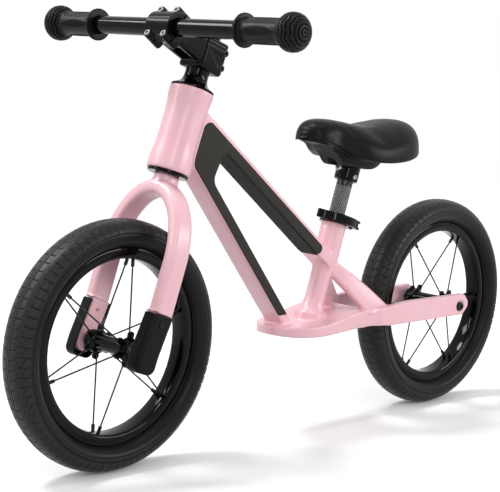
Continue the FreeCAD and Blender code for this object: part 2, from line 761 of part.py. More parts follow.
def fork_leg():
    """The left leg with half of the crown: a quarter ellipse and a straight run, in the steering frame."""
    crown = crown_middle()
    end = leg_end()
    forward = Vector(1, 0, 0)
    sections = []
    for index in range(ARCH_STEPS + 1):
        angle = math.pi / 2 * index / ARCH_STEPS
        middle = Vector(0, LEG_MIDDLE * math.sin(angle), -ARCH_HEIGHT * (1 - math.cos(angle)))
        across = Vector(0, ARCH_HEIGHT * math.sin(angle), LEG_MIDDLE * math.cos(angle))
        across.normalize()
        sections.append(rounded_rectangle(middle, forward, across, LEG_DEPTH, LEG_THICKNESS, LEG_CORNER))
    arch = Part.makeLoft(sections, True, False)
    run = math.hypot(end.z - crown.z, end.x - crown.x) - ARCH_HEIGHT
    straight = Part.Face(sections[-1]).extrude(Vector(0, 0, -run))
    leg = arch.fuse(straight).removeSplitter()
    lean = math.degrees(math.atan2(end.x - crown.x, crown.z - end.z))
    return place(leg, crown, -lean)


def dropout_tongue():
    """The flat end of the left leg that the axle bolt holds, in the steering frame."""
    top = leg_end()
    start = Vector(top.x, 0, top.z + 4)
    axle = Vector(FORK_RAKE, 0, -FORK_LENGTH)
    run = axle.sub(start)
    run.normalize()
    half = DROPOUT_DEPTH / 2
    side = Vector(run.z, 0, -run.x) * half
    end = axle + run * 4
    tip = end + run * half
    edges = [
        Part.makeLine(start + side, end + side),
        Part.Arc(end + side, tip, end - side).toShape(),
        Part.makeLine(end - side, start - side),
        Part.makeLine(start - side, start + side),
    ]
    face = Part.Face(Part.Wire(edges))
    face.translate(Vector(0, FORK_HALF_GAP, 0))
    return face.extrude(Vector(0, DROPOUT_THICKNESS, 0))


def make_fork():
    """Crown and two legs, with holes for the steerer, the axle bolts and the cover screws."""
    leg = fork_leg().fuse(dropout_tongue())
    neck = turned_upright([
        (0, CROWN_TOP),
        (CROWN_TOP_RADIUS, CROWN_TOP),
        (CROWN_TOP_RADIUS + 0.2, CROWN_TOP - 5),
        (CROWN_BASE_RADIUS, CROWN_TOP - CROWN_HEIGHT * 0.55),
        (CROWN_BASE_RADIUS - 1, CROWN_TOP - CROWN_HEIGHT * 0.8),
        (CROWN_BASE_RADIUS - 5, CROWN_TOP - CROWN_HEIGHT),
        (0, CROWN_TOP - CROWN_HEIGHT),
    ])
    body = fused([leg, mirror_left_right(leg), neck])
    steerer_hole = cylinder(
        STEERER_RADIUS,
        Vector(0, 0, CROWN_TOP + 1),
        Vector(0, 0, CROWN_TOP - CROWN_HEIGHT * 0.7),
    )
    body = body.cut(steerer_hole)
    reach = Vector(0, DROPOUT_OUTER + 10, 0)
    axle = Vector(FORK_RAKE, 0, -FORK_LENGTH)
    hole = AXLE_BOLT_RADIUS + THREAD_CLEARANCE
    body = body.cut(cylinder(hole, axle - reach, axle + reach))
    screw = cover_screw_place()
    body = body.cut(cylinder(COVER_SCREW_RADIUS, screw - reach, screw + reach))
    return on_steering(biggest_solid(body))


def cover_screw_place():
    """Where a cover screw crosses its cover, in the steering frame."""
    top = leg_end()
    return Vector(top.x + 0.5, 0, top.z - COVER_SCREW_DROP)


def make_leg_cover():
    """The left end cover: a cup that hides the axle bolt, open towards the wheel and at its top."""
    top = leg_end()
    axle = Vector(FORK_RAKE, 0, -FORK_LENGTH)
    run = axle.sub(Vector(top.x, 0, top.z))
    run.normalize()
    side = Vector(run.z, 0, -run.x)
    start = Vector(top.x, 0, top.z) + run * SEAT_GAP
    end = axle + run * LEG_COVER_BELOW_AXLE

    def plate(depth, first, last, low, high, corner):
        half = depth / 2
        across = side * half
        face = polygon_face([first + across, first - across, last - across, last + across])
        face.translate(Vector(0, low, 0))
        solid = face.extrude(Vector(0, high - low, 0))
        ends = [
            edge for edge in solid.Edges
            if abs(edge.Length - (high - low)) < 0.01 and (edge.CenterOfMass - last).dot(run) > -0.5
        ]
        return solid.makeFillet(corner, ends)

    low = FORK_HALF_GAP + SEAT_GAP
    high = low + LEG_COVER_THICKNESS
    wall = LEG_COVER_WALL
    outside = plate(LEG_COVER_DEPTH, start, end, low, high, 10)
    face_edges = [
        edge for edge in outside.Edges
        if abs(edge.CenterOfMass.y - high) < 0.01 and (edge.CenterOfMass - start).dot(run) > 1
    ]
    outside = outside.makeFillet(6, face_edges)
    inside = plate(LEG_COVER_DEPTH - 2 * wall, start - run * 5, end - run * wall, low - 1, high - wall, 8)
    cover = outside.cut(inside)
    screw = cover_screw_place()
    boss = cylinder(
        COVER_SCREW_RADIUS + 2,
        Vector(screw.x, DROPOUT_OUTER, screw.z),
        Vector(screw.x, high - wall + 0.5, screw.z),
    )
    hole = cylinder(COVER_SCREW_RADIUS, Vector(screw.x, 0, screw.z), Vector(screw.x, high + 5, screw.z))
    return on_steering(biggest_solid(cover.fuse(boss).cut(hole).removeSplitter()))


def make_cover_screws():
    """One small screw through each end cover into its leg."""
    screw = cover_screw_place()
    face = FORK_HALF_GAP + SEAT_GAP + LEG_COVER_THICKNESS
    solids = []
    for side in (-1, 1):
        solids.append(bolt(
            Vector(screw.x, side * face, screw.z), Vector(0, side, 0),
            COVER_SCREW_RADIUS, 14, COVER_SCREW_RADIUS * 1.7, 1.6, True,
        ))
    return on_steering(Part.makeCompound(solids))


# ---------------------------------------------------------------- stem, bar and grips
def clamp_direction():
    """The direction in which the faceplate comes off, and the direction up along its split."""
    tilt = math.radians(BAR_CLAMP_TILT)
    return Vector(math.cos(tilt), 0, math.sin(tilt)), Vector(-math.sin(tilt), 0, math.cos(tilt))


def bar_middle():
    return Vector(STEM_REACH, 0, BAR_HEIGHT)


def face_bolt_places():
    """The four faceplate bolts, as points on the split between stem and faceplate."""
    up = clamp_direction()[1]
    places = []
    for vertical in (-1, 1):
        for side in (-1, 1):
            left = Vector(0, side * FACE_BOLT_SPACING / 2, 0)
            places.append(bar_middle() + up * (vertical * FACE_BOLT_OFFSET) + left)
    return places


def bar_clamp_body():
    """The round clamp with its four bolt horns, before it is split."""
    half = Vector(0, STEM_WIDTH / 2, 0)
    off = clamp_direction()[0]
    shapes = [cylinder(BAR_CLAMP_RADIUS - 2, bar_middle() - half, bar_middle() + half)]
    for place_on_split in face_bolt_places():
        shapes.append(cylinder(FACE_BOLT_RADIUS + 3.2, place_on_split - off * 13, place_on_split + off * 11))
    return fused(shapes)


def split_box(ahead_from, ahead_to):
    """A big block between two distances from the bar's axis along the faceplate's direction."""
    off, up = clamp_direction()
    big = 60
    corner_a = bar_middle() + off * ahead_from - up * big
    corner_b = bar_middle() + off * ahead_from + up * big
    corner_c = bar_middle() + off * ahead_to + up * big
    corner_d = bar_middle() + off * ahead_to - up * big
    face = polygon_face([corner_a, corner_b, corner_c, corner_d])
    face.translate(Vector(0, -big, 0))
    return face.extrude(Vector(0, 2 * big, 0))


def bar_bore():
    reach = Vector(0, STEM_WIDTH, 0)
    return cylinder(BAR_RADIUS, bar_middle() - reach, bar_middle() + reach)


def pinch_bolt_places():
    """The two pinch bolts behind the steerer, at the middle of the slit."""
    behind = -(STEM_DEPTH / 2 + 1.5) + 0.5
    return [Vector(behind, 0, STEM_BOTTOM + STEM_HEIGHT * share) for share in (0.27, 0.73)]


def make_stem():
    """The stem: a block on the steerer, two arms forward and the rear half of the bar clamp."""
    back = -STEM_DEPTH / 2 - 3
    front = STEM_DEPTH / 2 - 2
    half = STEM_WIDTH / 2
    block = box(Vector(back, -half, STEM_BOTTOM), Vector(front, half, STEM_TOP))
    upright = [edge for edge in block.Edges if abs(edge.Length - STEM_HEIGHT) < 0.01]
    block = block.makeFillet(7, upright)
    rims = [edge for edge in block.Edges if abs(edge.CenterOfMass.z - STEM_TOP) < 0.01]
    rims += [edge for edge in block.Edges if abs(edge.CenterOfMass.z - STEM_BOTTOM) < 0.01]
    block = block.makeFillet(2.5, rims)
    middle = bar_middle()
    arm_start = Vector(front - 14, 0, STEM_BOTTOM + STEM_HEIGHT * 0.5)
    arm_end = Vector(middle.x - BAR_CLAMP_RADIUS * 0.4, 0, middle.z)
    across = Vector(0, 1, 0)
    up = Vector(0, 0, 1)
    arms = Part.makeLoft([
        rounded_rectangle(arm_start, across, up, STEM_WIDTH - 4, STEM_HEIGHT - 8, 6),
        rounded_rectangle(arm_end, across, up, STEM_WIDTH - 1, BAR_CLAMP_RADIUS * 1.6, 6),
    ], True, True)
    hollow = box(
        Vector(front + 2, -STEM_WIDTH * 0.24, STEM_BOTTOM - 5),
        Vector(middle.x - BAR_CLAMP_RADIUS + 2, STEM_WIDTH * 0.24, STEM_BOTTOM + STEM_HEIGHT * 0.36),
    )
    hollow_top = box(
        Vector(front + 2, -STEM_WIDTH * 0.24, STEM_BOTTOM + STEM_HEIGHT * 0.72),
        Vector(middle.x - BAR_CLAMP_RADIUS + 2, STEM_WIDTH * 0.24, STEM_TOP + 5),
    )
    rear_clamp = bar_clamp_body().common(split_box(-60, -BAR_CLAMP_GAP / 2))
    body = fused([block, arms.cut(hollow).cut(hollow_top), rear_clamp])
    body = body.cut(split_box(-BAR_CLAMP_GAP / 2, 40))
    body = body.cut(bar_bore())
    steerer_bore = cylinder(STEERER_RADIUS, Vector(0, 0, STEM_BOTTOM - 5), Vector(0, 0, STEM_TOP + 5))
    slit = box(Vector(back - 5, -1, STEM_BOTTOM - 5), Vector(0, 1, STEM_TOP + 5))
    body = body.cut(steerer_bore).cut(slit)
    for side in (-1, 1):
        body = body.cut(stem_side_relief(side))
    for place_in_slit in pinch_bolt_places():
        left = Vector(0, half, 0)
        body = body.cut(cylinder(PINCH_BOLT_RADIUS, place_in_slit - left * 0.7, place_in_slit + left * 2))
        seat = cylinder(PINCH_BOLT_RADIUS + 2.2, place_in_slit + left * 0.62, place_in_slit + left * 2)
        body = body.cut(seat)
    off = clamp_direction()[0]
    for place_on_split in face_bolt_places():
        body = body.cut(cylinder(FACE_BOLT_RADIUS, place_on_split - off * 12, place_on_split + off * 12))
    return on_steering(biggest_solid(body.removeSplitter()))


def stem_side_relief(side):
    """A shallow groove and a plain triangular facet in one side face of the stem's block."""
    face = side * STEM_WIDTH / 2
    depth = 0.8
    groove = box(
        Vector(-STEM_DEPTH * 0.42, face - depth, STEM_TOP - STEM_HEIGHT * 0.27),
        Vector(STEM_DEPTH * 0.3, face + depth, STEM_TOP - STEM_HEIGHT * 0.2),
    )
    facet = polygon_face([
        Vector(-STEM_DEPTH * 0.3, face - side * depth, STEM_BOTTOM + STEM_HEIGHT * 0.62),
        Vector(STEM_DEPTH * 0.22, face - side * depth, STEM_BOTTOM + STEM_HEIGHT * 0.62),
        Vector(-STEM_DEPTH * 0.3, face - side * depth, STEM_BOTTOM + STEM_HEIGHT * 0.2),
    ]).extrude(Vector(0, side * depth * 2, 0))
    return groove.fuse(facet)


def make_faceplate():
    """The front half of the bar clamp, hollowed between its horns and grooved along its middle."""
    off, up = clamp_direction()
    body = bar_clamp_body().common(split_box(BAR_CLAMP_GAP / 2, 60)).cut(bar_bore())
    half = STEM_WIDTH * 0.2
    for vertical in (-1, 1):
        middle = bar_middle() + off * 8 + up * (vertical * (BAR_CLAMP_RADIUS + 4.5))
        body = body.cut(cylinder(9, middle - Vector(0, half, 0), middle + Vector(0, half, 0)))
    groove_middle = bar_middle() + off * (BAR_CLAMP_RADIUS - 2)
    across = Vector(0, STEM_WIDTH, 0)
    body = body.cut(cylinder(0.9, groove_middle - across, groove_middle + across))
    for place_on_split in face_bolt_places():
        hole = cylinder(FACE_BOLT_RADIUS + THREAD_CLEARANCE, place_on_split, place_on_split + off * 20)
        seat = cylinder(FACE_BOLT_RADIUS + 2.2, place_on_split + off * 8, place_on_split + off * 20)
        body = body.cut(hole).cut(seat)
    return on_steering(biggest_solid(body.removeSplitter()))


def make_faceplate_bolts():
    """The four bolts that pull the faceplate to the stem."""
    off = clamp_direction()[0]
    head_radius = FACE_BOLT_RADIUS + 1.9
    solids = []
    for place_on_split in face_bolt_places():
        solids.append(bolt(place_on_split + off * 8, off, FACE_BOLT_RADIUS, 19, head_radius, 5, False))
    return on_steering(Part.makeCompound(solids))


def make_pinch_bolts():
    solids = []
    seat_depth = STEM_WIDTH / 2 * 0.62
    for place_in_slit in pinch_bolt_places():
        head = place_in_slit + Vector(0, seat_depth, 0)
        solids.append(bolt(head, Vector(0, 1, 0), PINCH_BOLT_RADIUS, 24, PINCH_BOLT_RADIUS + 1.9, 5, False))
    return on_steering(Part.makeCompound(solids))


def make_top_cap():
    """The round cap that closes the steerer and preloads the headset."""
    top = STEM_TOP + TOP_CAP_THICKNESS
    radius = STEERER_RADIUS + 3.3
    hole = CAP_BOLT_RADIUS + THREAD_CLEARANCE
    return on_steering(turned_upright([
        (hole, STEM_TOP),
        (radius, STEM_TOP),
        (radius, top - 1.2),
        (radius - 1.2, top),
        (CAP_BOLT_RADIUS + 2.6, top),
        (CAP_BOLT_RADIUS + 2.6, top - 1.4),
        (hole, top - 1.4),
    ]))


def make_top_cap_bolt():
    head = Vector(0, 0, STEM_TOP + TOP_CAP_THICKNESS - 1.4)
    return on_steering(bolt(head, Vector(0, 0, 1), CAP_BOLT_RADIUS, 30, CAP_BOLT_RADIUS + 2.2, 2.6, True))


def make_star_nut():
    """The star-shaped nut pressed into the steerer for the top-cap bolt."""
    top = STEM_TOP + TOP_CAP_THICKNESS - 20
    hub = tube(CAP_BOLT_RADIUS + 2, CAP_BOLT_RADIUS, Vector(0, 0, top - 12), Vector(0, 0, top))
    wall = STEERER_RADIUS - STEERER_WALL
    rings = [hub]
    for drop in (2, 9):
        disc = tube(wall, CAP_BOLT_RADIUS + 1, Vector(0, 0, top - drop - 1.2), Vector(0, 0, top - drop))
        for index in range(6):
            notch = cylinder(2.2, Vector(wall, 0, top - drop - 2), Vector(wall, 0, top))
            notch.rotate(Vector(0, 0, 0), Vector(0, 0, 1), 60 * index)
            disc = disc.cut(notch)
        rings.append(disc)
    return on_steering(fused(rings))


def make_handlebar():
    """A straight tube."""
    reach = Vector(0, BAR_LENGTH / 2, 0)
    return on_steering(tube(BAR_RADIUS, BAR_RADIUS - BAR_WALL, bar_middle() - reach, bar_middle() + reach))


def make_grip(side):
    """A grip with a thin inner flange, a straight body and a beehive end that closes over the bar."""
    bar_end = BAR_LENGTH / 2
    end = bar_end + SEAT_GAP + GRIP_END_WALL
    start = end - GRIP_LENGTH
    body_start = start + GRIP_FLANGE_THICKNESS
    bulb = GRIP_BULB_RADIUS
    bulb_start = end - 26
    profile = [
        (BAR_RADIUS, start),
        (GRIP_FLANGE_RADIUS - 1, start),
        (GRIP_FLANGE_RADIUS, start + 1),
        (GRIP_FLANGE_RADIUS, body_start - 1),
        (GRIP_FLANGE_RADIUS - 1, body_start),
        (GRIP_RADIUS, body_start),
        (GRIP_RADIUS, bulb_start - 3),
    ]
    rings = (0.80, 0.94, 1.0, 0.99, 0.88, 0.68)
    pitch = (end - bulb_start) / (len(rings) + 0.5)
    for index, share in enumerate(rings):
        ring_start = bulb_start + index * pitch
        profile += [
            (bulb * share - 1.2, ring_start),
            (bulb * share, ring_start + 0.9),
            (bulb * share, ring_start + pitch - 0.9),
            (bulb * share - 1.2, ring_start + pitch - 0.2),
        ]
    profile += [
        (7, end),
        (0, end),
        (0, bar_end + SEAT_GAP),
        (BAR_RADIUS, bar_end + SEAT_GAP),
    ]
    solid = turned_crosswise(profile)
    if side < 0:
        solid = mirror_left_right(solid)
    solid.translate(bar_middle())
    return on_steering(solid)


# ---------------------------------------------------------------- wheels, modelled about the origin
def around(angle, radius, left):
    """A point of the wheel; the angle runs from straight up towards the back."""
    turn = math.radians(angle)
    return Vector(-radius * math.sin(turn), left, radius * math.cos(turn))


def smooth_symmetric_ring(half_outer, half_inner):
    """A ring turned from two smooth curves of (radius, y) points; y is mirrored for the other side."""
    curves = []
    for half in (half_outer, half_inner):
        left = [Vector(radius, y, 0) for radius, y in half]
        right = [Vector(radius, -y, 0) for radius, y in half[-2::-1]]
        curves.append(left + right)
    outer, inner = curves
    face = smooth_face([outer, [outer[-1], inner[-1]], inner[::-1], [inner[0], outer[0]]])
    return face.revolve(Vector(0, 0, 0), Vector(0, 1, 0), 360)


def make_tyre():
    """The tyre: a horseshoe section with two beads and grooves round its tread."""
    crown = TYRE_RADIUS
    side = TYRE_WIDTH / 2
    bead = RIM_HOLE_RADIUS + RIM_WALL
    seat = RIM_WIDTH / 2 - RIM_WALL
    bead_high = RIM_HOLE_RADIUS + RIM_HEIGHT + SEAT_GAP
    outer = [
        (bead_high, seat),
        (bead_high + 0.7, RIM_WIDTH / 2 + 0.3),
        (bead_high + 3.2, side * 0.76),
        (crown - 27, side * 0.885),
        (crown - 20, side),
        (crown - 12, side * 0.95),
        (crown - 5.5, side * 0.77),
        (crown - 2, side * 0.51),
        (crown, 0),
    ]
    inner = [
        (bead_high, seat - 4),
        (bead_high + 1.5, side * 0.5),
        (crown - 28.5, side * 0.73),
        (crown - 20, side - TYRE_WALL * 0.8),
        (crown - 13, side * 0.95 - TYRE_WALL * 0.8),
        (crown - 8, side * 0.66),
        (crown - 5, side * 0.43),
        (crown - TYRE_WALL, 0),
    ]
    bead_low = bead + SEAT_GAP
    tyre = smooth_symmetric_ring(outer, inner)
    for sign in (-1, 1):
        tyre = tyre.fuse(turned_crosswise([
            (bead_high + 0.5, sign * (seat - 4)),
            (bead_low, sign * (seat - 3)),
            (bead_low, sign * (seat - 2)),
            (bead_low + 2, sign * seat),
            (bead_high + 0.5, sign * seat),
        ]))
    half = TREAD_GROOVE_WIDTH / 2
    for place_across in (-1.5, -0.5, 0.5, 1.5):
        middle = place_across * TREAD_GROOVE_SPACING
        floor = crown - TREAD_GROOVE_DEPTH - 0.012 * middle * middle
        groove = turned_crosswise([
            (floor, middle - half),
            (crown + 2, middle - half),
            (crown + 2, middle + half),
            (floor, middle + half),
        ])
        tyre = tyre.cut(groove)
    return biggest_solid(tyre.removeSplitter())


def make_inner_tube():
    """The air tube: a hollow ring inside the tyre."""
    heart = Vector(TYRE_RADIUS - TYRE_WALL - SEAT_GAP - TUBE_HALF_HEIGHT, 0, 0)
    wires = []
    for shrink in (0, TUBE_WALL):
        across = Part.Ellipse()
        across.MajorRadius = TUBE_HALF_WIDTH - shrink
        across.MinorRadius = TUBE_HALF_HEIGHT - shrink
        edge = across.toShape()
        edge.rotate(Vector(0, 0, 0), Vector(0, 0, 1), 90)
        edge.translate(heart)
        wires.append(Part.Wire(edge))
    rings = [Part.Face(wire).revolve(Vector(0, 0, 0), Vector(0, 1, 0), 360) for wire in wires]
    return rings[0].cut(rings[1])


def make_valve(angle):
    """The valve stem through the rim, with its cap."""
    tip = RIM_HOLE_RADIUS - VALVE_LENGTH
    foot = TYRE_RADIUS - TYRE_WALL - SEAT_GAP - 2 * TUBE_HALF_HEIGHT
    stem = cylinder(VALVE_RADIUS, around(angle, tip + 9, 0), around(angle, foot - SEAT_GAP, 0))
    cap = cylinder(VALVE_RADIUS + 1, around(angle, tip, 0), around(angle, tip + 9, 0))
    return stem.fuse(cap).removeSplitter()


def spoke_places(first_angle):
    """Angle and side of each spoke; they stand in pairs, one from each hub flange."""
    step = 360 / SPOKE_PAIRS
    return [(first_angle + step * index, side) for index in range(SPOKE_PAIRS) for side in (-1, 1)]


def spoke_ends(angle, side):
    """The bend of a spoke at its flange and its end in the rim."""
    inside = FLANGE_OFFSET - FLANGE_THICKNESS / 2 - SPOKE_RADIUS
    bend = around(angle, LOBE_CIRCLE_RADIUS, side * inside)
    end = around(angle, RIM_HOLE_RADIUS + RIM_WALL + 1, side * SPOKE_STAGGER)
    return bend, end


def make_rim(first_angle, valve_angle):
    """The rim: a single wall with two hooked flanges, drilled for the nipples and the valve."""
    low = RIM_HOLE_RADIUS
    bed = low + RIM_WALL
    top = low + RIM_HEIGHT
    side = RIM_WIDTH / 2
    seat = side - RIM_WALL
    half = [
        (low, 0),
        (low, side - 5.5),
        (low + 0.9, side - 2.3),
        (low + 3.1, side - 0.4),
        (low + 5.5, side),
        (top - 1.2, side),
        (top, side - 0.6),
        (top, seat + 0.4),
        (top - 0.6, seat),
        (bed + 1.8, seat),
        (bed, seat - 1.8),
        (bed, 0),
    ]
    profile = half + [(radius, -y) for radius, y in half[-2:0:-1]]
    rim = turned_crosswise(profile)
    cuts = [cylinder(VALVE_RADIUS, around(valve_angle, low - 5, 0), around(valve_angle, bed + 5, 0))]
    for angle, side_sign in spoke_places(first_angle):
        bend, end = spoke_ends(angle, side_sign)
        run = end.sub(bend)
        run.normalize()
        cuts.append(cylinder(NIPPLE_RADIUS, end - run * 12, end + run * 10))
    return biggest_solid(rim.cut(cuts[0].multiFuse(cuts[1:])))


def make_spokes(first_angle):
    """All the spokes of a wheel: head, bend through the flange and straight run."""
    solids = []
    for angle, side in spoke_places(first_angle):
        bend, end = spoke_ends(angle, side)
        face = Vector(bend.x, side * (FLANGE_OFFSET + FLANGE_THICKNESS / 2), bend.z)
        head = cylinder(SPOKE_RADIUS * 1.9, face, face + Vector(0, side * SPOKE_RADIUS, 0))
        elbow = Part.makeSphere(SPOKE_RADIUS, bend)
        parts = [cylinder(SPOKE_RADIUS, bend, face), head, elbow, cylinder(SPOKE_RADIUS, bend, end)]
        solids.append(fused(parts))
    return Part.makeCompound(solids)


def make_nipples(first_angle):
    """The nipples that hold the spokes in the rim."""
    solids = []
    for angle, side in spoke_places(first_angle):
        bend, end = spoke_ends(angle, side)
        run = end.sub(bend)
        run.normalize()
        head_foot = end + run * NIPPLE_HEAD_LIFT
        body = cylinder(NIPPLE_RADIUS, head_foot - run * NIPPLE_LENGTH, head_foot)
        head = cylinder(NIPPLE_RADIUS * 1.35, head_foot, head_foot + run * 2)
        solids.append(body.fuse(head).cut(cylinder(SPOKE_RADIUS, bend, end)).removeSplitter().Solids[0])
    return Part.makeCompound(solids)


def make_hub_shell(first_angle):
    """The hub: barrel, two six-lobed flanges and two ribbed bosses, bored for its bearings."""
    inner = FLANGE_OFFSET - FLANGE_THICKNESS / 2
    outer = FLANGE_OFFSET + FLANGE_THICKNESS / 2
    rib_pitch = (HUB_BOSS_END - outer) / HUB_RIBS
    half = [
        (HUB_BARREL_RADIUS, 0),
        (HUB_BARREL_RADIUS, inner - 4),
        (HUB_BARREL_RADIUS + 2.5, inner - 1),
        (FLANGE_RADIUS, inner),
        (FLANGE_RADIUS, outer),
    ]
    for index in range(HUB_RIBS):
        start = outer + index * rib_pitch
        half += [
            (HUB_BOSS_RADIUS - 1, start + 0.1),
            (HUB_BOSS_RADIUS - 1, start + rib_pitch * 0.35),
            (HUB_BOSS_RADIUS, start + rib_pitch * 0.55),
            (HUB_BOSS_RADIUS, start + rib_pitch * 0.95),
        ]
    half += [(HUB_BOSS_RADIUS - 0.5, HUB_BOSS_END), (BEARING_OUTER_RADIUS, HUB_BOSS_END)]
    bearing_foot = HUB_BOSS_END - BEARING_INSET - BEARING_WIDTH
    half += [(BEARING_OUTER_RADIUS, bearing_foot), (AXLE_RADIUS + 1, bearing_foot), (AXLE_RADIUS + 1, 0)]
    profile = half + [(radius, -y) for radius, y in half[-2:0:-1]]
    shapes = [turned_crosswise(profile)]
    holes = []
    for angle, side in spoke_places(first_angle):
        low = around(angle, LOBE_CIRCLE_RADIUS, side * inner)
        high = around(angle, LOBE_CIRCLE_RADIUS, side * outer)
        root = around(angle, FLANGE_RADIUS - 1, side * inner)
        shapes.append(cylinder(LOBE_RADIUS, low, high))
        shapes.append(cylinder(LOBE_RADIUS, root, Vector(root.x, side * outer, root.z)))
        reach = Vector(0, side, 0)
        holes.append(cylinder(SPOKE_RADIUS, low - reach, high + reach))
    hub = fused(shapes).cut(holes[0].multiFuse(holes[1:]))
    bore = turned_crosswise([
        (0, -HUB_BOSS_END - 1),
        (BEARING_OUTER_RADIUS, -HUB_BOSS_END - 1),
        (BEARING_OUTER_RADIUS, -bearing_foot),
        (AXLE_RADIUS + 1, -bearing_foot),
        (AXLE_RADIUS + 1, bearing_foot),
        (BEARING_OUTER_RADIUS, bearing_foot),
        (BEARING_OUTER_RADIUS, HUB_BOSS_END + 1),
        (0, HUB_BOSS_END + 1),
    ])
    return biggest_solid(hub.cut(bore))


def make_hub_bearings():
    """The two cartridge bearings of a hub."""
    inner = AXLE_RADIUS + RUNNING_FIT
    outer = BEARING_OUTER_RADIUS
    high = HUB_BOSS_END - BEARING_INSET
    low = high - BEARING_WIDTH
    shield = 0.5
    left = turned_crosswise([
        (inner, low),
        (inner + 1.6, low),
        (inner + 1.6, low + shield),
        (outer - 1.6, low + shield),
        (outer - 1.6, low),
        (outer, low),
        (outer, high),
        (outer - 1.6, high),
        (outer - 1.6, high - shield),
        (inner + 1.6, high - shield),
        (inner + 1.6, high),
        (inner, high),
    ])
    return Part.makeCompound([left, mirror_left_right(left)])


def make_axle(half_length):
    """The fixed axle, tapped at both ends."""
    end = Vector(0, half_length, 0)
    axle = cylinder(AXLE_RADIUS, end * -1, end)
    for sign in (-1, 1):
        depth = Vector(0, sign * AXLE_BOLT_GRIP, 0)
        axle = axle.cut(cylinder(AXLE_BOLT_RADIUS, end * sign - depth, end * sign + depth))
    return axle


def make_axle_spacers(half_length):
    """The two spacers between the bearings and the dropouts."""
    start = HUB_BOSS_END + SEAT_GAP
    left = tube(SPACER_RADIUS, AXLE_RADIUS, Vector(0, start, 0), Vector(0, half_length, 0))
    return Part.makeCompound([left, mirror_left_right(left)])


def make_axle_washers(face):
    """The washers under the axle bolts; face is the distance from the middle to the face they lie on."""
    hole = AXLE_BOLT_RADIUS + THREAD_CLEARANCE
    left = tube(WASHER_RADIUS, hole, Vector(0, face, 0), Vector(0, face + WASHER_THICKNESS, 0))
    return Part.makeCompound([left, mirror_left_right(left)])


def make_axle_bolts(face, half_length):
    """The bolts screwed into the axle's ends."""
    under_head = face + WASHER_THICKNESS
    shank = under_head - half_length + AXLE_BOLT_GRIP - 2
    solids = []
    for sign in (-1, 1):
        solids.append(bolt(
            Vector(0, sign * under_head, 0), Vector(0, sign, 0), AXLE_BOLT_RADIUS, shank,
            AXLE_BOLT_HEAD_RADIUS, AXLE_BOLT_HEAD_HEIGHT, True,
        ))
    return Part.makeCompound(solids)


def make_wheel(name, centre, first_angle, valve_angle, half_length, bolt_face):
    """Every node of one wheel with its fixed axle, by node name."""
    pieces = {
        "tyre": make_tyre(),
        "inner_tube": make_inner_tube(),
        "valve": make_valve(valve_angle),
        "rim": make_rim(first_angle, valve_angle),
        "spokes": make_spokes(first_angle),
        "spoke_nipples": make_nipples(first_angle),
        "hub_shell": make_hub_shell(first_angle),
        "hub_bearings": make_hub_bearings(),
        "axle": make_axle(half_length),
        "axle_spacers": make_axle_spacers(half_length),
        "axle_washers": make_axle_washers(bolt_face),
        "axle_bolts": make_axle_bolts(bolt_face, half_length),
    }
    for shape in pieces.values():
        shape.translate(centre)
    return {name + "_" + key: shape for key, shape in pieces.items()}


# ---------------------------------------------------------------- seat, in the seat tube's frame unless said
def make_seat_collar():
    """The clamping collar with its two lugs behind the tube."""
    inner = SEAT_TUBE_RADIUS
    outer = inner + COLLAR_WALL
    ring = tube(outer, inner, Vector(0, 0, SEAT_GAP), Vector(0, 0, COLLAR_HEIGHT))
    lug_corner = Vector(-inner - 1, LUG_HALF_WIDTH, COLLAR_HEIGHT)
    lugs = box(Vector(-LUG_END, -LUG_HALF_WIDTH, SEAT_GAP), lug_corner)
    rear_edges = [edge for edge in lugs.Edges if abs(edge.CenterOfMass.x + LUG_END) < 0.01]
    ends = [edge for edge in rear_edges if edge.Length < COLLAR_HEIGHT + 1]
    lugs = lugs.makeFillet(3, [edge for edge in ends if abs(edge.CenterOfMass.y) > 1])
    body = ring.fuse(lugs).removeSplitter()
    gap_corner = Vector(-inner + 3, COLLAR_GAP / 2, COLLAR_HEIGHT + 1)
    gap = box(Vector(-LUG_END - 1, -COLLAR_GAP / 2, -1), gap_corner)
    middle = COLLAR_HEIGHT / 2
    hole_start = Vector(-QR_BEHIND, -LUG_HALF_WIDTH - 1, middle)
    hole_end = Vector(-QR_BEHIND, LUG_HALF_WIDTH + 1, middle)
    hole = cylinder(QR_BOLT_RADIUS + SEAT_GAP, hole_start, hole_end)
    core = cylinder(inner, Vector(0, 0, -1), Vector(0, 0, COLLAR_HEIGHT + 1))
    return on_seat_tube(biggest_solid(body.cut(core).cut(gap).cut(hole)))


def lever_heights():
    """The lower and upper face of the quick-release lever."""
    middle = COLLAR_HEIGHT / 2
    return middle - LEVER_HEIGHT / 2, middle + LEVER_HEIGHT / 2


def make_quick_release_bolt():
    """The bolt through the lugs with the cross pin on which the lever turns."""
    middle = COLLAR_HEIGHT / 2
    low, high = lever_heights()
    end = -LUG_HALF_WIDTH - QR_NUT_LENGTH + 1
    shank = cylinder(QR_BOLT_RADIUS, Vector(-QR_BEHIND, end, middle), Vector(-QR_BEHIND, QR_LEFT, middle))
    pin = cylinder(QR_PIN_RADIUS, Vector(-QR_BEHIND, QR_LEFT, low), Vector(-QR_BEHIND, QR_LEFT, high))
    return on_seat_tube(fused([shank, pin]))


def make_quick_release_nut():
    """The round nut at the right end of the bolt."""
    middle = COLLAR_HEIGHT / 2
    start = Vector(-QR_BEHIND, -LUG_HALF_WIDTH, middle)
    end = Vector(-QR_BEHIND, -LUG_HALF_WIDTH - QR_NUT_LENGTH, middle)
    nut = cylinder(QR_NUT_RADIUS, start, end)
    far_edges = [edge for edge in nut.Edges if edge.Closed and edge.CenterOfMass.y < start.y - 1]
    nut = nut.makeFillet(1.5, far_edges)
    bore = cylinder(QR_BOLT_RADIUS, start + Vector(0, 1, 0), end + Vector(0, 1, 0))
    return on_seat_tube(nut.cut(bore))


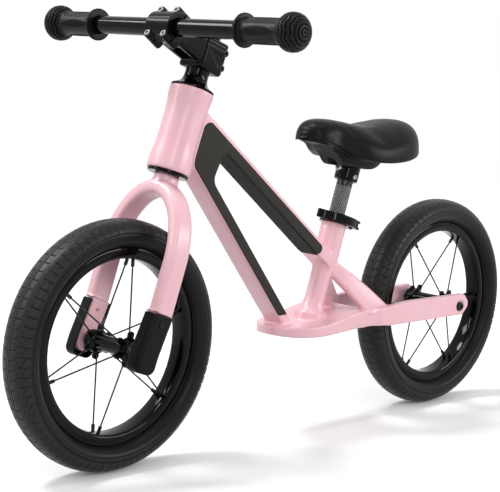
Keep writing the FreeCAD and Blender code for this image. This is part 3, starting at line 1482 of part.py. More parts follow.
def make_quick_release_washer():
    """The slide washer between the left lug and the lever's cam."""
    middle = COLLAR_HEIGHT / 2
    start = Vector(-QR_BEHIND, LUG_HALF_WIDTH, middle)
    end = Vector(-QR_BEHIND, QR_LEFT - QR_CAM_RADIUS - SEAT_GAP, middle)
    return on_seat_tube(tube(QR_WASHER_RADIUS, QR_BOLT_RADIUS + SEAT_GAP, start, end))


def make_quick_release_lever():
    """The lever: a cam barrel behind the tube and an arm that hugs the collar and curls out in front."""
    low, high = lever_heights()
    centreline = [
        Vector(-QR_BEHIND + 2, QR_LEFT + 2, 0),
        Vector(-16, 23.3, 0),
        Vector(0, 25.7, 0),
        Vector(15, 22.2, 0),
        Vector(24.5, 13.5, 0),
        Vector(31, 5.5, 0),
        Vector(39, 0.5, 0),
    ]
    spine = Part.BSplineCurve()
    spine.interpolate(centreline)
    near = []
    far = []
    steps = 14
    for index in range(steps + 1):
        share = spine.FirstParameter + (spine.LastParameter - spine.FirstParameter) * index / steps
        run = spine.tangent(share)[0]
        side = Vector(-run.y, run.x, 0) * (LEVER_THICKNESS / 2)
        near.append(spine.value(share) - side)
        far.append(spine.value(share) + side)
    face = smooth_face([near, [near[-1], far[-1]], far[::-1], [far[0], near[0]]])
    face.translate(Vector(0, 0, low))
    arm = face.extrude(Vector(0, 0, LEVER_HEIGHT))
    pivot = Vector(-QR_BEHIND, QR_LEFT, 0)
    lift = Vector(0, 0, low)
    barrel = cylinder(QR_CAM_RADIUS, pivot + lift, pivot + Vector(0, 0, high))
    lever = fused([arm, barrel])
    lever = lever.cut(cylinder(QR_PIN_RADIUS + RUNNING_FIT, pivot, pivot + Vector(0, 0, high + 5)))
    half = QR_BOLT_RADIUS + SEAT_GAP
    slot_low = pivot + Vector(0, 0, COLLAR_HEIGHT / 2 - half)
    slot_high = slot_low + Vector(0, 0, 2 * half)
    reach = QR_CAM_RADIUS + 1.2
    lever = lever.cut(cylinder(half, slot_low, slot_high))
    steps = 15
    for index in range(steps + 1):
        strip = box(Vector(0, -half, 0), Vector(reach, half, 2 * half))
        strip.rotate(Vector(0, 0, 0), Vector(0, 0, 1), -90 - LEVER_TURN * index / steps)
        strip.translate(slot_low)
        lever = lever.cut(strip)
    return on_seat_tube(biggest_solid(lever.removeSplitter()))


def make_seat_post():
    """The seat post, a round tube."""
    top = POST_EXPOSED + SADDLE_CLAMP_HEIGHT - SADDLE_CLAMP_WEB - SEAT_GAP
    low_end = Vector(0, 0, -POST_INSERTION)
    return on_seat_tube(tube(POST_RADIUS, POST_RADIUS - POST_WALL, low_end, Vector(0, 0, top)))


def make_saddle_clamp():
    """The barrel that sits on the post and carries the saddle."""
    low = POST_EXPOSED
    high = low + SADDLE_CLAMP_HEIGHT
    radius = SADDLE_CLAMP_RADIUS
    body = turned_upright([
        (0, low),
        (radius - 1.5, low),
        (radius, low + 1.5),
        (radius, high),
        (0, high),
    ])
    bore = cylinder(POST_RADIUS, Vector(0, 0, low - 1), Vector(0, 0, high - SADDLE_CLAMP_WEB))
    thread = cylinder(SADDLE_BOLT_RADIUS, Vector(0, 0, low), Vector(0, 0, high + 1))
    front = clamp_bolt_place()
    boss = cylinder(6.5, Vector(POST_RADIUS + 1, 0, front.z), front)
    body = body.fuse(boss).cut(bore).cut(thread)
    body = body.cut(cylinder(SADDLE_BOLT_RADIUS, Vector(0, 0, front.z), front + Vector(1, 0, 0)))
    left = pinch_screw_place()
    body = body.cut(cylinder(2, Vector(left.x, 0, left.z), left + Vector(0, 1, 0)))
    pocket = cylinder(4.3, left - Vector(0, 2, 0), left + Vector(0, 3, 0))
    return on_seat_tube(biggest_solid(body.cut(pocket).removeSplitter()))


def clamp_bolt_place():
    """The face under the head of the clamp's front bolt."""
    return Vector(SADDLE_CLAMP_RADIUS + 1.5, 0, POST_EXPOSED + SADDLE_CLAMP_HEIGHT * 0.58)


def pinch_screw_place():
    """The place of the small screw low on the clamp's left side."""
    return Vector(0, SADDLE_CLAMP_RADIUS, POST_EXPOSED + 6.5)


def make_saddle_clamp_bolts():
    """The hexagon bolt in front and the small screw on the left, both bearing on the post."""
    front = clamp_bolt_place()
    reach = front.x - POST_RADIUS
    first = bolt(front, Vector(1, 0, 0), SADDLE_BOLT_RADIUS, reach, 5, 4, False)
    left = pinch_screw_place() - Vector(0, 2, 0)
    second = bolt(left, Vector(0, 1, 0), 2, left.y - POST_RADIUS, 3.8, 2.4, True)
    return on_seat_tube(Part.makeCompound([first, second]))


def make_saddle_bolt():
    """The bolt that holds the saddle's base down on the clamp, under the padding."""
    head_foot = Vector(0, 0, POST_EXPOSED + SADDLE_CLAMP_HEIGHT + SEAT_GAP + SADDLE_BASE_WALL)
    shank = SADDLE_BASE_WALL + SEAT_GAP + SADDLE_CLAMP_WEB - 0.6
    head_height = SADDLE_BOLT_RECESS - 0.5
    return on_seat_tube(bolt(head_foot, Vector(0, 0, 1), SADDLE_BOLT_RADIUS, shank, 5.5, head_height, False))


SADDLE_STATIONS = [
    # place along X, half width, top, lower edge of the padding
    (-8.0, 11.0, 410.0, 398.5),
    (-10.5, 18.0, 415.5, 395.5),
    (-17.0, 25.0, 421.5, 394.5),
    (-28.0, 30.0, 424.8, 394.0),
    (-46.0, 34.5, 424.2, 388.0),
    (-66.0, 43.0, 420.8, 377.0),
    (-90.0, 55.0, 416.4, 369.5),
    (-115.0, 61.0, 414.6, 367.0),
    (-145.0, 62.0, 418.6, 367.5),
    (-170.0, 59.5, 423.2, 370.5),
    (-190.0, 53.0, 424.8, 375.0),
    (-204.0, 43.0, 421.8, 380.5),
    (-212.0, 30.0, 415.0, 387.5),
    (-215.0, 16.0, 408.0, 393.0),
]

KEEL_STATIONS = [
    # place along X, half width, underside of the base
    (-16.0, 9.0, 391.3),
    (-32.0, 14.0, 383.5),
    (-48.0, 17.0, 371.5),
    (-62.0, 19.0, 364.5),
    (-85.0, 20.0, 360.0),
    (-110.0, 20.0, 357.0),
    (-135.0, 18.0, 355.3),
    (-152.0, 14.0, 358.5),
    (-166.0, 10.0, 365.5),
]


def cushion_section(x, half_width, top, edge):
    """One closed cross-section of the padding: a crowned top on an almost flat underside."""
    middle = edge + (top - edge) * 0.42
    points = []
    steps = 24
    for index in range(steps):
        turn = 2 * math.pi * index / steps
        share_y = math.copysign(abs(math.cos(turn)) ** 0.8, math.cos(turn))
        share_z = math.copysign(abs(math.sin(turn)) ** 0.8, math.sin(turn))
        height = share_z * ((top - middle) if share_z > 0 else (middle - edge))
        points.append(Vector(x, half_width * share_y, middle + height))
    curve = Part.BSplineCurve()
    curve.interpolate(Points=points, PeriodicFlag=True)
    return Part.Wire(curve.toShape())


def saddle_at(x):
    """Half width, top and lower edge of the padding at x, between the stations."""
    for first, second in zip(SADDLE_STATIONS, SADDLE_STATIONS[1:]):
        if second[0] <= x <= first[0]:
            share = (first[0] - x) / (first[0] - second[0])
            return [a + (b - a) * share for a, b in zip(first[1:], second[1:])]
    raise ValueError("no saddle at this place")


def make_saddle_pad():
    """The padding, a closed loft along the saddle, hollowed to sit on the base."""
    pad = Part.makeLoft([cushion_section(*station) for station in SADDLE_STATIONS], True, False)
    return pad.cut(saddle_base_body(SEAT_GAP))


def saddle_base_body(margin):
    """The base's outer form: a tray under the padding and a keel; margin widens it all round."""
    trays = []
    for x, half_width, top, edge in SADDLE_STATIONS[2:-2]:
        low = edge - margin
        height = SADDLE_BASE_WALL + 2 * margin
        width = 2 * (half_width * 0.8 - SADDLE_BASE_INSET + margin)
        middle = Vector(x, 0, low + height / 2 + SADDLE_BASE_LIFT)
        trays.append(rounded_rectangle(middle, Vector(0, 1, 0), Vector(0, 0, 1), width, height, 1.2))
    tray = Part.makeLoft(trays, True, False)
    keels = []
    for x, half_width, low in KEEL_STATIONS:
        top = saddle_at(x)[2] + SADDLE_BASE_LIFT + SADDLE_BASE_WALL / 2 + margin
        foot = low - margin
        middle = Vector(x, 0, (foot + top) / 2)
        width = 2 * (half_width + margin)
        keels.append(rounded_rectangle(middle, Vector(0, 1, 0), Vector(0, 0, 1), width, top - foot, 4))
    keel = Part.makeLoft(keels, True, False)
    return tray.fuse(keel)


def make_saddle_base():
    """The stiff base with the socket that sits on the clamp."""
    base = saddle_base_body(0)
    seat = POST_EXPOSED + SADDLE_CLAMP_HEIGHT + SEAT_GAP
    socket = cylinder(SADDLE_CLAMP_RADIUS + SEAT_GAP, Vector(0, 0, POST_EXPOSED - 30), Vector(0, 0, seat))
    hole = cylinder(SADDLE_BOLT_RADIUS + SEAT_GAP, Vector(0, 0, seat - 1), Vector(0, 0, seat + 60))
    head = cylinder(6, Vector(0, 0, seat + SADDLE_BASE_WALL), Vector(0, 0, seat + 60))
    front = clamp_bolt_place()
    relief = cylinder(8, Vector(POST_RADIUS, 0, front.z), Vector(front.x + 30, 0, front.z))
    for cut in (socket, hole, head, relief):
        base = base.cut(on_seat_tube(cut))
    return biggest_solid(base.removeSplitter())


# ---------------------------------------------------------------- export
def main():
    """Build every node and write its STEP file."""
    os.makedirs("parts", exist_ok=True)
    casting, inlay_left, inlay_right = make_frame()
    upper_bearing_foot = HEAD_TUBE_LENGTH - HEAD_BEARING_WIDTH
    cover = make_leg_cover()
    pieces = {
        "frame": casting,
        "frame_inlay_left": inlay_left,
        "frame_inlay_right": inlay_right,
        "headset_bearing_lower": make_head_bearing(0),
        "headset_bearing_upper": make_head_bearing(upper_bearing_foot),
        "fork_crown_seal": make_crown_seal(),
        "headset_cover": make_headset_cover(),
        "steerer_tube": make_steerer(),
        "fork": make_fork(),
        "fork_cover_left": cover,
        "fork_cover_right": mirror_left_right(cover),
        "fork_cover_screws": make_cover_screws(),
        "stem": make_stem(),
        "stem_faceplate": make_faceplate(),
        "stem_faceplate_bolts": make_faceplate_bolts(),
        "stem_pinch_bolts": make_pinch_bolts(),
        "stem_top_cap": make_top_cap(),
        "stem_top_cap_bolt": make_top_cap_bolt(),
        "steerer_star_nut": make_star_nut(),
        "handlebar": make_handlebar(),
        "grip_left": make_grip(1),
        "grip_right": make_grip(-1),
        "seat_collar": make_seat_collar(),
        "quick_release_bolt": make_quick_release_bolt(),
        "quick_release_nut": make_quick_release_nut(),
        "quick_release_washer": make_quick_release_washer(),
        "quick_release_lever": make_quick_release_lever(),
        "seat_post": make_seat_post(),
        "saddle_clamp": make_saddle_clamp(),
        "saddle_clamp_bolts": make_saddle_clamp_bolts(),
        "saddle_bolt": make_saddle_bolt(),
        "saddle_base": make_saddle_base(),
        "saddle_pad": make_saddle_pad(),
    }
    pieces.update(make_wheel(
        "front", FRONT_AXLE, FRONT_SPOKE_ANGLE, FRONT_VALVE_ANGLE, FORK_HALF_GAP, DROPOUT_OUTER,
    ))
    pieces.update(make_wheel(
        "rear", REAR_AXLE, REAR_SPOKE_ANGLE, REAR_VALVE_ANGLE, STAY_HALF_GAP, STAY_OUTER - REAR_RECESS,
    ))
    for name, shape in pieces.items():
        export(name, shape)
    print(len(pieces), "nodes written")


main()
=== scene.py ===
# %% [markdown]
# # A child's balance bike
# The metal and plastic parts come from the CAD model, piece by piece, each standing where it belongs. This
# lesson gives them their finishes, and models what a CAD solid can't show well: the tyres with their
# tread, the cast frame and fork with their soft blends, the ribbed grips and the padded saddle.

# %% Load the model and the tools
import json
import math

import bmesh
import bpy
import numpy as np
from mathutils import Matrix, Vector
from mathutils.kdtree import KDTree


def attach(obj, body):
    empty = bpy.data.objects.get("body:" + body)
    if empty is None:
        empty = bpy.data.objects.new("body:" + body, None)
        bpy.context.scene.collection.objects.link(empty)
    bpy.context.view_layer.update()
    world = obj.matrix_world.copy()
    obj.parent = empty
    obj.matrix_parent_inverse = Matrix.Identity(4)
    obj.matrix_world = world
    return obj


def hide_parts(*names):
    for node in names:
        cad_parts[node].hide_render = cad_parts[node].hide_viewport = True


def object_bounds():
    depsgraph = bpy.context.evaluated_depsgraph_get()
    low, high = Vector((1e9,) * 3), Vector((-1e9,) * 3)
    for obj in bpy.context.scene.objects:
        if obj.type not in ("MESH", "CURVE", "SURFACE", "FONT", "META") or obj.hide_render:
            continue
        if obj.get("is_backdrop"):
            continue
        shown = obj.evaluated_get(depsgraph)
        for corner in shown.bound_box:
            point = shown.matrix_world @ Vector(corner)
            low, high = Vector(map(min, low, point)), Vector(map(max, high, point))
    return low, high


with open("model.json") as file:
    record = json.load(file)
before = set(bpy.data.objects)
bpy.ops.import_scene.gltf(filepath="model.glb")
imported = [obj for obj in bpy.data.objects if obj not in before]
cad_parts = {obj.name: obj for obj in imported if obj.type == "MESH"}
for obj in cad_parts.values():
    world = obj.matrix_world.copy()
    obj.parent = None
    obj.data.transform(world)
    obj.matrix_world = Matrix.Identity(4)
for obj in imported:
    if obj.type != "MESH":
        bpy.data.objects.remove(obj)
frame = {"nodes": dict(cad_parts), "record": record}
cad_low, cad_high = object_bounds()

MM = 0.001
nodes = frame["nodes"]
print("CAD box", [round(v, 3) for v in cad_low], [round(v, 3) for v in cad_high])

# %% [markdown]
# ## The camera
# A long lens stands in front and on the left, at about the height of the bar. It shows the bike as a
# catalogue does, with both wheels as slim ovals. The camera's direction is given as a heading, a tilt and a
# roll, and turned into three axes.

# %% Camera
CAMERA_PLACE = Vector((1.42118, 1.29174, 0.51032))
HEADING = math.radians(223.909)
TILT = math.radians(-7.779)
ROLL = math.radians(3.006)
SENSOR = 36.0
LENS = 104.32
SHIFT_X = -0.0044
SHIFT_Y = 0.0047

ahead = Vector((math.cos(TILT) * math.cos(HEADING), math.cos(TILT) * math.sin(HEADING), math.sin(TILT)))
level_right = ahead.cross(Vector((0, 0, 1))).normalized()
level_up = level_right.cross(ahead)
camera_right = level_right * math.cos(ROLL) + level_up * math.sin(ROLL)
camera_up = level_up * math.cos(ROLL) - level_right * math.sin(ROLL)
camera_data = bpy.data.cameras.new("camera")
camera_data.sensor_width = SENSOR
camera_data.lens = LENS
camera_data.shift_x = SHIFT_X
camera_data.shift_y = SHIFT_Y
camera_data.clip_start = 0.1
camera_data.clip_end = 100
camera = bpy.data.objects.new("camera", camera_data)
turned = Matrix((camera_right, camera_up, -ahead)).transposed().to_4x4()
camera.matrix_world = Matrix.Translation(CAMERA_PLACE) @ turned
bpy.context.scene.collection.objects.link(camera)
bpy.context.scene.camera = camera
print("camera looks along", [round(v, 3) for v in ahead])

# %% [markdown]
# ## Small helpers
# One function turns a colour written as sRGB hex into the linear numbers that a shader takes. One adds a
# shader node with its settings and links. Two make the patterns' usual steps: a value that fades out, and a
# mix of two colours. One puts a grid of points into a mesh.

# %% Helpers for colours and shader nodes
def linear(code):
    """sRGB hex to linear RGBA: a share c above 0.04045 becomes ((c + 0.055) / 1.055) to the power 2.4."""
    shares = np.array([int(code[i:i + 2], 16) for i in (1, 3, 5)]) / 255
    straight = np.where(shares > 0.04045, ((shares + 0.055) / 1.055) ** 2.4, shares / 12.92)
    return (*straight.tolist(), 1.0)


def add(tree, kind, links=None, values=None, **properties):
    """Add one shader node: links are input: socket, values are input: number, the rest are its properties."""
    node = tree.nodes.new("ShaderNode" + kind)
    for name, value in properties.items():
        setattr(node, name, value)
    for name, value in (values or {}).items():
        node.inputs[name].default_value = value
    for name, socket in (links or {}).items():
        tree.links.new(socket, node.inputs[name])
    return node


def fading(tree, value, low, high):
    """1 where the value is up to low, falling evenly to 0 at high."""
    node = add(tree, "MapRange", {"Value": value}, {"From Min": low, "From Max": high})
    node.inputs["To Min"].default_value = 1
    node.inputs["To Max"].default_value = 0
    return node.outputs["Result"]


def mixed_colour(tree, share, first, second):
    """The first colour where the share is 0, the second where it is 1."""
    values = {6: linear(first), 7: linear(second)}
    return add(tree, "Mix", {0: share}, values, data_type="RGBA").outputs[2]


def new_material(name, colour, **values):
    """A material with its Principled shader; the values are that shader's own sockets."""
    material = bpy.data.materials.new(name)
    material.use_nodes = True
    tree = material.node_tree
    shader = tree.nodes["Principled BSDF"]
    shader.inputs["Base Color"].default_value = linear(colour)
    for key, value in values.items():
        shader.inputs[key.replace("_", " ")].default_value = value
    print("finish", name)
    return material, tree, shader

# %% Helpers for meshes and pieces
def grid_mesh(name, points, closed_rows=False, closed_columns=False, uv=None):
    """A mesh from an array of points (rows, columns, 3): each cell between four neighbours becomes a face."""
    rows, columns = points.shape[:2]
    row = np.arange(rows if closed_rows else rows - 1)
    column = np.arange(columns if closed_columns else columns - 1)
    r, c = np.meshgrid(row, column, indexing="ij")
    r2, c2 = (r + 1) % rows, (c + 1) % columns
    here, beyond = r * columns, r2 * columns
    faces = np.stack([here + c, here + c2, beyond + c2, beyond + c], -1).reshape(-1, 4)
    mesh = bpy.data.meshes.new(name)
    mesh.vertices.add(rows * columns)
    mesh.vertices.foreach_set("co", points.reshape(-1).astype(np.float32))
    mesh.loops.add(faces.size)
    mesh.loops.foreach_set("vertex_index", faces.reshape(-1).astype(np.int32))
    mesh.polygons.add(len(faces))
    mesh.polygons.foreach_set("loop_start", np.arange(0, faces.size, 4, dtype=np.int32))
    mesh.polygons.foreach_set("use_smooth", np.ones(len(faces), bool))
    mesh.update(calc_edges=True)
    if uv is not None:
        u, v = uv
        step_r, step_c = r + 1, c + 1
        corner_u = np.stack([u[r], u[r], u[step_r], u[step_r]], -1)
        corner_v = np.stack([v[c], v[step_c], v[step_c], v[c]], -1)
        layer = mesh.uv_layers.new(name="around")
        layer.data.foreach_set("uv", np.stack([corner_u, corner_v], -1).reshape(-1).astype(np.float32))
    mesh.validate()
    return mesh


def outward(mesh):
    """Turn every face outwards, and merge the points that meet at poles and seams first."""
    work = bmesh.new()
    work.from_mesh(mesh)
    bmesh.ops.remove_doubles(work, verts=work.verts, dist=1e-6)
    bmesh.ops.recalc_face_normals(work, faces=work.faces)
    work.to_mesh(mesh)
    work.free()
    mesh.polygons.foreach_set("use_smooth", np.ones(len(mesh.polygons), bool))
    return mesh


def piece(name, mesh, material, body, replaced):
    """A finished piece: its object sits at the origin, rides on a body and stands for CAD nodes."""
    made = bpy.data.objects.new(name, mesh)
    bpy.context.scene.collection.objects.link(made)
    mesh.materials.clear()
    mesh.materials.append(material)
    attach(made, body)
    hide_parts(*replaced)
    print(name, len(mesh.polygons), "faces")
    return made


# %% [markdown]
# ## Floor, sky and lamps
# The bike stands on a plain white floor under a soft sky. The floor is white where it is seen directly or in
# a reflection, and greyer for the light that it throws back onto the bike. A high soft sun and long lamps
# give the pink paint its soft gradients and the black parts their long highlights, and the floor keeps a
# soft shadow under the tyres.

# %% Floor
def seen_directly(tree):
    """1 for rays that show the background itself: from the camera, in a reflection or through glass."""
    path = add(tree, "LightPath")
    total = path.outputs["Is Camera Ray"]
    for kind in ("Is Glossy Ray", "Is Transmission Ray"):
        total = add(tree, "Math", {0: total, 1: path.outputs[kind]}, operation="ADD").outputs[0]
    return add(tree, "Clamp", {"Value": total}).outputs[0]


FLOOR_GLOW = 0.06
FLOOR_HALF = 30.0
FLOOR_DROP = 0.4 * MM
floor_material, tree, shader = new_material("matt_white_floor", "#FFFFFF", Roughness=0.9)
shown = mixed_colour(tree, seen_directly(tree), "#BDBDBD", "#FFFFFF")
tree.links.new(shown, shader.inputs["Base Color"])
shader.inputs["Specular IOR Level"].default_value = 0.0
shader.inputs["Emission Color"].default_value = linear("#FFFFFF")
glow = add(tree, "Math", {0: seen_directly(tree)}, {1: FLOOR_GLOW}, operation="MULTIPLY")
tree.links.new(glow.outputs[0], shader.inputs["Emission Strength"])
corners = np.array([[-1, -1, 0], [1, -1, 0], [1, 1, 0], [-1, 1, 0]], float) * FLOOR_HALF
floor_mesh = bpy.data.meshes.new("floor")
floor_mesh.from_pydata(corners.tolist(), [], [(0, 1, 2, 3)])
floor = bpy.data.objects.new("floor", floor_mesh)
floor.location = (0, 0, -FLOOR_DROP)
floor_mesh.materials.append(floor_material)
bpy.context.scene.collection.objects.link(floor)
floor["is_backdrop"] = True
print("floor", 2 * FLOOR_HALF, "m wide")

# %% Sky
world = bpy.data.worlds.new("studio")
bpy.context.scene.world = world
world.use_nodes = True
tree = world.node_tree
tree.nodes.clear()
SKY_STRENGTH = 0.5
soft = add(tree, "Background", None, {"Color": linear("#FFFFFF"), "Strength": SKY_STRENGTH})
plain = add(tree, "Background", None, {"Color": linear("#FFFFFF"), "Strength": 1.0})
mixed = add(tree, "MixShader", {0: seen_directly(tree), 1: soft.outputs[0], 2: plain.outputs[0]})
add(tree, "OutputWorld", {"Surface": mixed.outputs[0]})
print("sky strength", SKY_STRENGTH)

# %% Lamps
def lamp(name, kind, place, target, energy, size, height=None, sheen_only=False):
    """A lamp at a place that shines at a target. A sheen lamp adds to the highlights only."""
    data = bpy.data.lights.new(name, kind)
    data.energy = energy
    if kind == "AREA":
        data.shape = "RECTANGLE"
        data.size = size
        data.size_y = height or size
    else:
        data.angle = size
    made = bpy.data.objects.new(name, data)
    made.location = place
    made.rotation_mode = "QUATERNION"
    made.rotation_quaternion = (Vector(target) - Vector(place)).to_track_quat("-Z", "Y")
    made.visible_diffuse = not sheen_only
    bpy.context.scene.collection.objects.link(made)
    print(name, "energy", energy)


lamp("sky_sun", "SUN", (0.7, -0.9, 2.6), (0, 0, 0), 1.5, math.radians(14))
lamp("key_softbox", "AREA", (1.9, -1.1, 1.4), (0.1, 0, 0.3), 11, 0.12, 1.3)
lamp("top_softbox", "AREA", (0.1, 0.4, 2.1), (0, 0, 0.25), 5, 1.3, 0.12)
lamp("bar_softbox", "AREA", (0.91, -1.1, 1.49), (0.244, 0, 0.532), 12, 0.45, 0.45, True)
lamp("rear_softbox", "AREA", (-1.3, 1.9, 0.9), (-0.1, 0, 0.4), 20, 1.4, 0.3)
lamp("fill_softbox", "AREA", (1.5, 1.9, 1.5), (0, 0, 0.3), 10, 0.15, 0.9)

view = bpy.context.scene.view_settings
view.view_transform = "Standard"

# %% [markdown]
# ## Finishes
# Each finish starts from what the real surface is and how it was made. Patterns are sized in millimetres: a
# pattern's scale is how many of its features fit into a metre. A rounded-edge normal lets every machined or
# moulded edge catch a thin line of light, as a real edge with its half-millimetre radius does.

# %% Pattern sizes and the shared surface relief
NOISE_LOW = 0.3
NOISE_HIGH = 0.7


def per_metre(millimetres):
    """How many features of this size fit into a metre."""
    return 1000 / millimetres


def relief(tree, shader, height, depth_mm, strength=1.0, edge_mm=0.5):
    """Bump of depth_mm from a height socket over softly rounded edges, into the shader's normal."""
    values = {"Strength": strength, "Distance": depth_mm * MM}
    rounded = add(tree, "Bevel", None, {"Radius": edge_mm * MM}, samples=4)
    links = {"Normal": rounded.outputs["Normal"]}
    if height is not None:
        links["Height"] = height
    bump = add(tree, "Bump", links, values)
    tree.links.new(bump.outputs["Normal"], shader.inputs["Normal"])
    return bump


def grain(tree, size_mm, detail=2.0, roughness=0.5):
    """A noise height with features of size_mm, on the object's own coordinates."""
    place = add(tree, "TexCoord")
    values = {"Scale": per_metre(size_mm), "Detail": detail, "Roughness": roughness}
    return add(tree, "TexNoise", {"Vector": place.outputs["Object"]}, values)


def vary(tree, shader, pattern, socket, low, high):
    """Let a pattern move one of the shader's sockets between low and high."""
    span = add(tree, "MapRange", {"Value": pattern}, {"From Min": NOISE_LOW, "From Max": NOISE_HIGH})
    span.inputs["To Min"].default_value = low
    span.inputs["To Max"].default_value = high
    tree.links.new(span.outputs["Result"], shader.inputs[socket])


def tint(tree, shader, pattern, first, second, low=NOISE_LOW, high=NOISE_HIGH):
    """Let a pattern move the base colour between two colours, as it goes from low to high."""
    share = add(tree, "MapRange", {"Value": pattern}, {"From Min": low, "From Max": high})
    mix = mixed_colour(tree, share.outputs["Result"], first, second)
    tree.links.new(mix, shader.inputs["Base Color"])


# %% [markdown]
# ### Powder-coated magnesium
# The cast frame and fork are blasted, then sprayed with dry powder that melts into a thick satin skin. The
# eye sees an even pale pink, a soft wide highlight and a faint orange-peel ripple a millimetre or two
# across.

# %% Pink powder coat
pink_coat, tree, shader = new_material("pink_powder_coat", "#EEBBC5", Roughness=0.34, IOR=1.5)
shader.inputs["Coat Weight"].default_value = 0.35
shader.inputs["Coat Roughness"].default_value = 0.3
peel = grain(tree, 1.8, detail=1.0)
cloudy = grain(tree, 60, detail=1.0)
tint(tree, shader, cloudy.outputs["Fac"], "#EDB8C2", "#F0BEC8")
relief(tree, shader, peel.outputs["Fac"], 0.03, 0.5, edge_mm=0.8)

# %% [markdown]
# ### Rubber
# Tyres, grips and seals are vulcanised rubber with carbon black. It is almost black, dull, and lighter where
# it has been rubbed or dusted. The skin copies the blasted wall of its mould as a fine even grain.

# %% Grip and seal rubber
grip_rubber, tree, shader = new_material(
    "moulded_grip_rubber", "#121212", Roughness=0.34, IOR=1.52, Specular_IOR_Level=0.12
)
skin = grain(tree, 0.5, detail=3.0)
tint(tree, shader, grain(tree, 25).outputs["Fac"], "#0E0E0E", "#161616")
vary(tree, shader, skin.outputs["Fac"], "Roughness", 0.3, 0.42)
relief(tree, shader, skin.outputs["Fac"], 0.03, 0.6, edge_mm=0.4)

# %% [markdown]
# ### Painted and anodised black metal
# The handlebar and the saddle's clamp are aluminium under a satin black paint, and the stem is blasted and
# anodised, so it is a little duller. The rims, hubs and small fittings are blacker and glossier, and the
# screws and spokes are blackened steel. A trace of fine grain breaks their highlights.

# %% Black metals
satin_black, tree, shader = new_material(
    "satin_black_paint", "#050506", Roughness=0.12, IOR=1.5, Specular_IOR_Level=0.12
)
fine = grain(tree, 0.6, detail=2.0)
vary(tree, shader, fine.outputs["Fac"], "Roughness", 0.1, 0.15)
relief(tree, shader, fine.outputs["Fac"], 0.01, 0.5, edge_mm=0.4)

stem_black, tree, shader = new_material(
    "blasted_black_anodising", "#070708", Roughness=0.2, IOR=1.5, Specular_IOR_Level=0.1
)
blast = grain(tree, 0.35, detail=3.0)
vary(tree, shader, blast.outputs["Fac"], "Roughness", 0.16, 0.25)
tint(tree, shader, grain(tree, 18).outputs["Fac"], "#070708", "#0C0C0D")
relief(tree, shader, blast.outputs["Fac"], 0.02, 0.6, edge_mm=0.6)

gloss_black, tree, shader = new_material(
    "gloss_black_paint", "#030304", Roughness=0.09, IOR=1.5, Specular_IOR_Level=0.12
)
wave = grain(tree, 4, detail=1.0)
vary(tree, shader, grain(tree, 9).outputs["Fac"], "Roughness", 0.07, 0.12)
relief(tree, shader, wave.outputs["Fac"], 0.01, 0.5, edge_mm=0.4)

black_screw, tree, shader = new_material("blackened_steel", "#0D0D0E", Roughness=0.32, Metallic=0.55)
oxide = grain(tree, 0.8, detail=2.0)
vary(tree, shader, oxide.outputs["Fac"], "Roughness", 0.28, 0.42)
relief(tree, shader, oxide.outputs["Fac"], 0.01, 0.5, edge_mm=0.3)

# %% [markdown]
# ### Zinc-plated steel
# Axles, washers, spacers and the saddle bolts are turned steel with a thin bright zinc skin: pale grey metal
# with a faint grain and cloudy patches where the plating is thicker. The four bolts in the stem's faceplate
# have a duller, darker skin, so their small heads read as grey dots and don't flash white.

# %% Bright and dulled steel
bolt_steel, tree, shader = new_material("dulled_steel_bolts", "#636467", Roughness=0.45, Metallic=1.0)
tint(tree, shader, grain(tree, 3).outputs["Fac"], "#58595C", "#6E6F72")
bright_steel, tree, shader = new_material("zinc_plated_steel", "#939496", Roughness=0.3, Metallic=1.0)
patch = grain(tree, 3, detail=3.0)
tint(tree, shader, patch.outputs["Fac"], "#85868A", "#A2A3A5")
vary(tree, shader, patch.outputs["Fac"], "Roughness", 0.24, 0.38)
relief(tree, shader, grain(tree, 0.4).outputs["Fac"], 0.008, 0.5, edge_mm=0.25)

# %% [markdown]
# ### Moulded plastic
# The fork's end covers are glass-filled nylon from a spark-eroded mould: a dull charcoal with a pebbled grain
# of about half a millimetre. The saddle's base is polypropylene, a little lighter, with a coarser grain. The
# inlays in the frame are a softer grey plastic, almost smooth, with painted shade darkening their lining and
# edges.

# %% Plastics
nylon, tree, shader = new_material(
    "spark_textured_nylon", "#101010", Roughness=0.36, IOR=1.5, Specular_IOR_Level=0.08
)
pebble = grain(tree, 0.55, detail=2.0)
vary(tree, shader, pebble.outputs["Fac"], "Roughness", 0.32, 0.44)
tint(tree, shader, grain(tree, 15).outputs["Fac"], "#0D0D0D", "#131313")
relief(tree, shader, pebble.outputs["Fac"], 0.05, 0.6, edge_mm=0.8)

inlay_grey, tree, shader = new_material(
    "grey_soft_plastic", "#34322F", Roughness=0.5, IOR=1.48, Specular_IOR_Level=0.06
)
dust = grain(tree, 0.7, detail=2.0)
place = add(tree, "TexCoord")
# The wide faces that look to the side get the lighter grey; the lining and the edges are painted darker, as
# shade, by how far their normal turns from the side.
facing = add(tree, "SeparateXYZ", {"Vector": place.outputs["Normal"]})
painted_shade_facing = add(tree, "Math", {0: facing.outputs["Y"]}, operation="ABSOLUTE")
tint(tree, shader, painted_shade_facing.outputs[0], "#100F0F", "#383633", 0.3, 0.9)
vary(tree, shader, dust.outputs["Fac"], "Roughness", 0.44, 0.56)
relief(tree, shader, dust.outputs["Fac"], 0.02, 0.5, edge_mm=0.4)

base_grey, tree, shader = new_material(
    "charcoal_polypropylene", "#161617", Roughness=0.42, IOR=1.49, Specular_IOR_Level=0.12
)
flow = grain(tree, 0.8, detail=2.0)
vary(tree, shader, flow.outputs["Fac"], "Roughness", 0.42, 0.56)
tint(tree, shader, grain(tree, 22).outputs["Fac"], "#131314", "#1A1A1B")
relief(tree, shader, flow.outputs["Fac"], 0.04, 0.5, edge_mm=0.8)

# %% [markdown]
# ### The knurled post
# The seat post is a black tube with a band of fine diamond knurling, so that the collar grips it. The
# knurling is two families of spiral ridges: they run where the sine of (18 times the angle round the tube,
# plus or minus 2 pi times the height over the pitch) is largest. It ends about 54 mm above the seat tube.

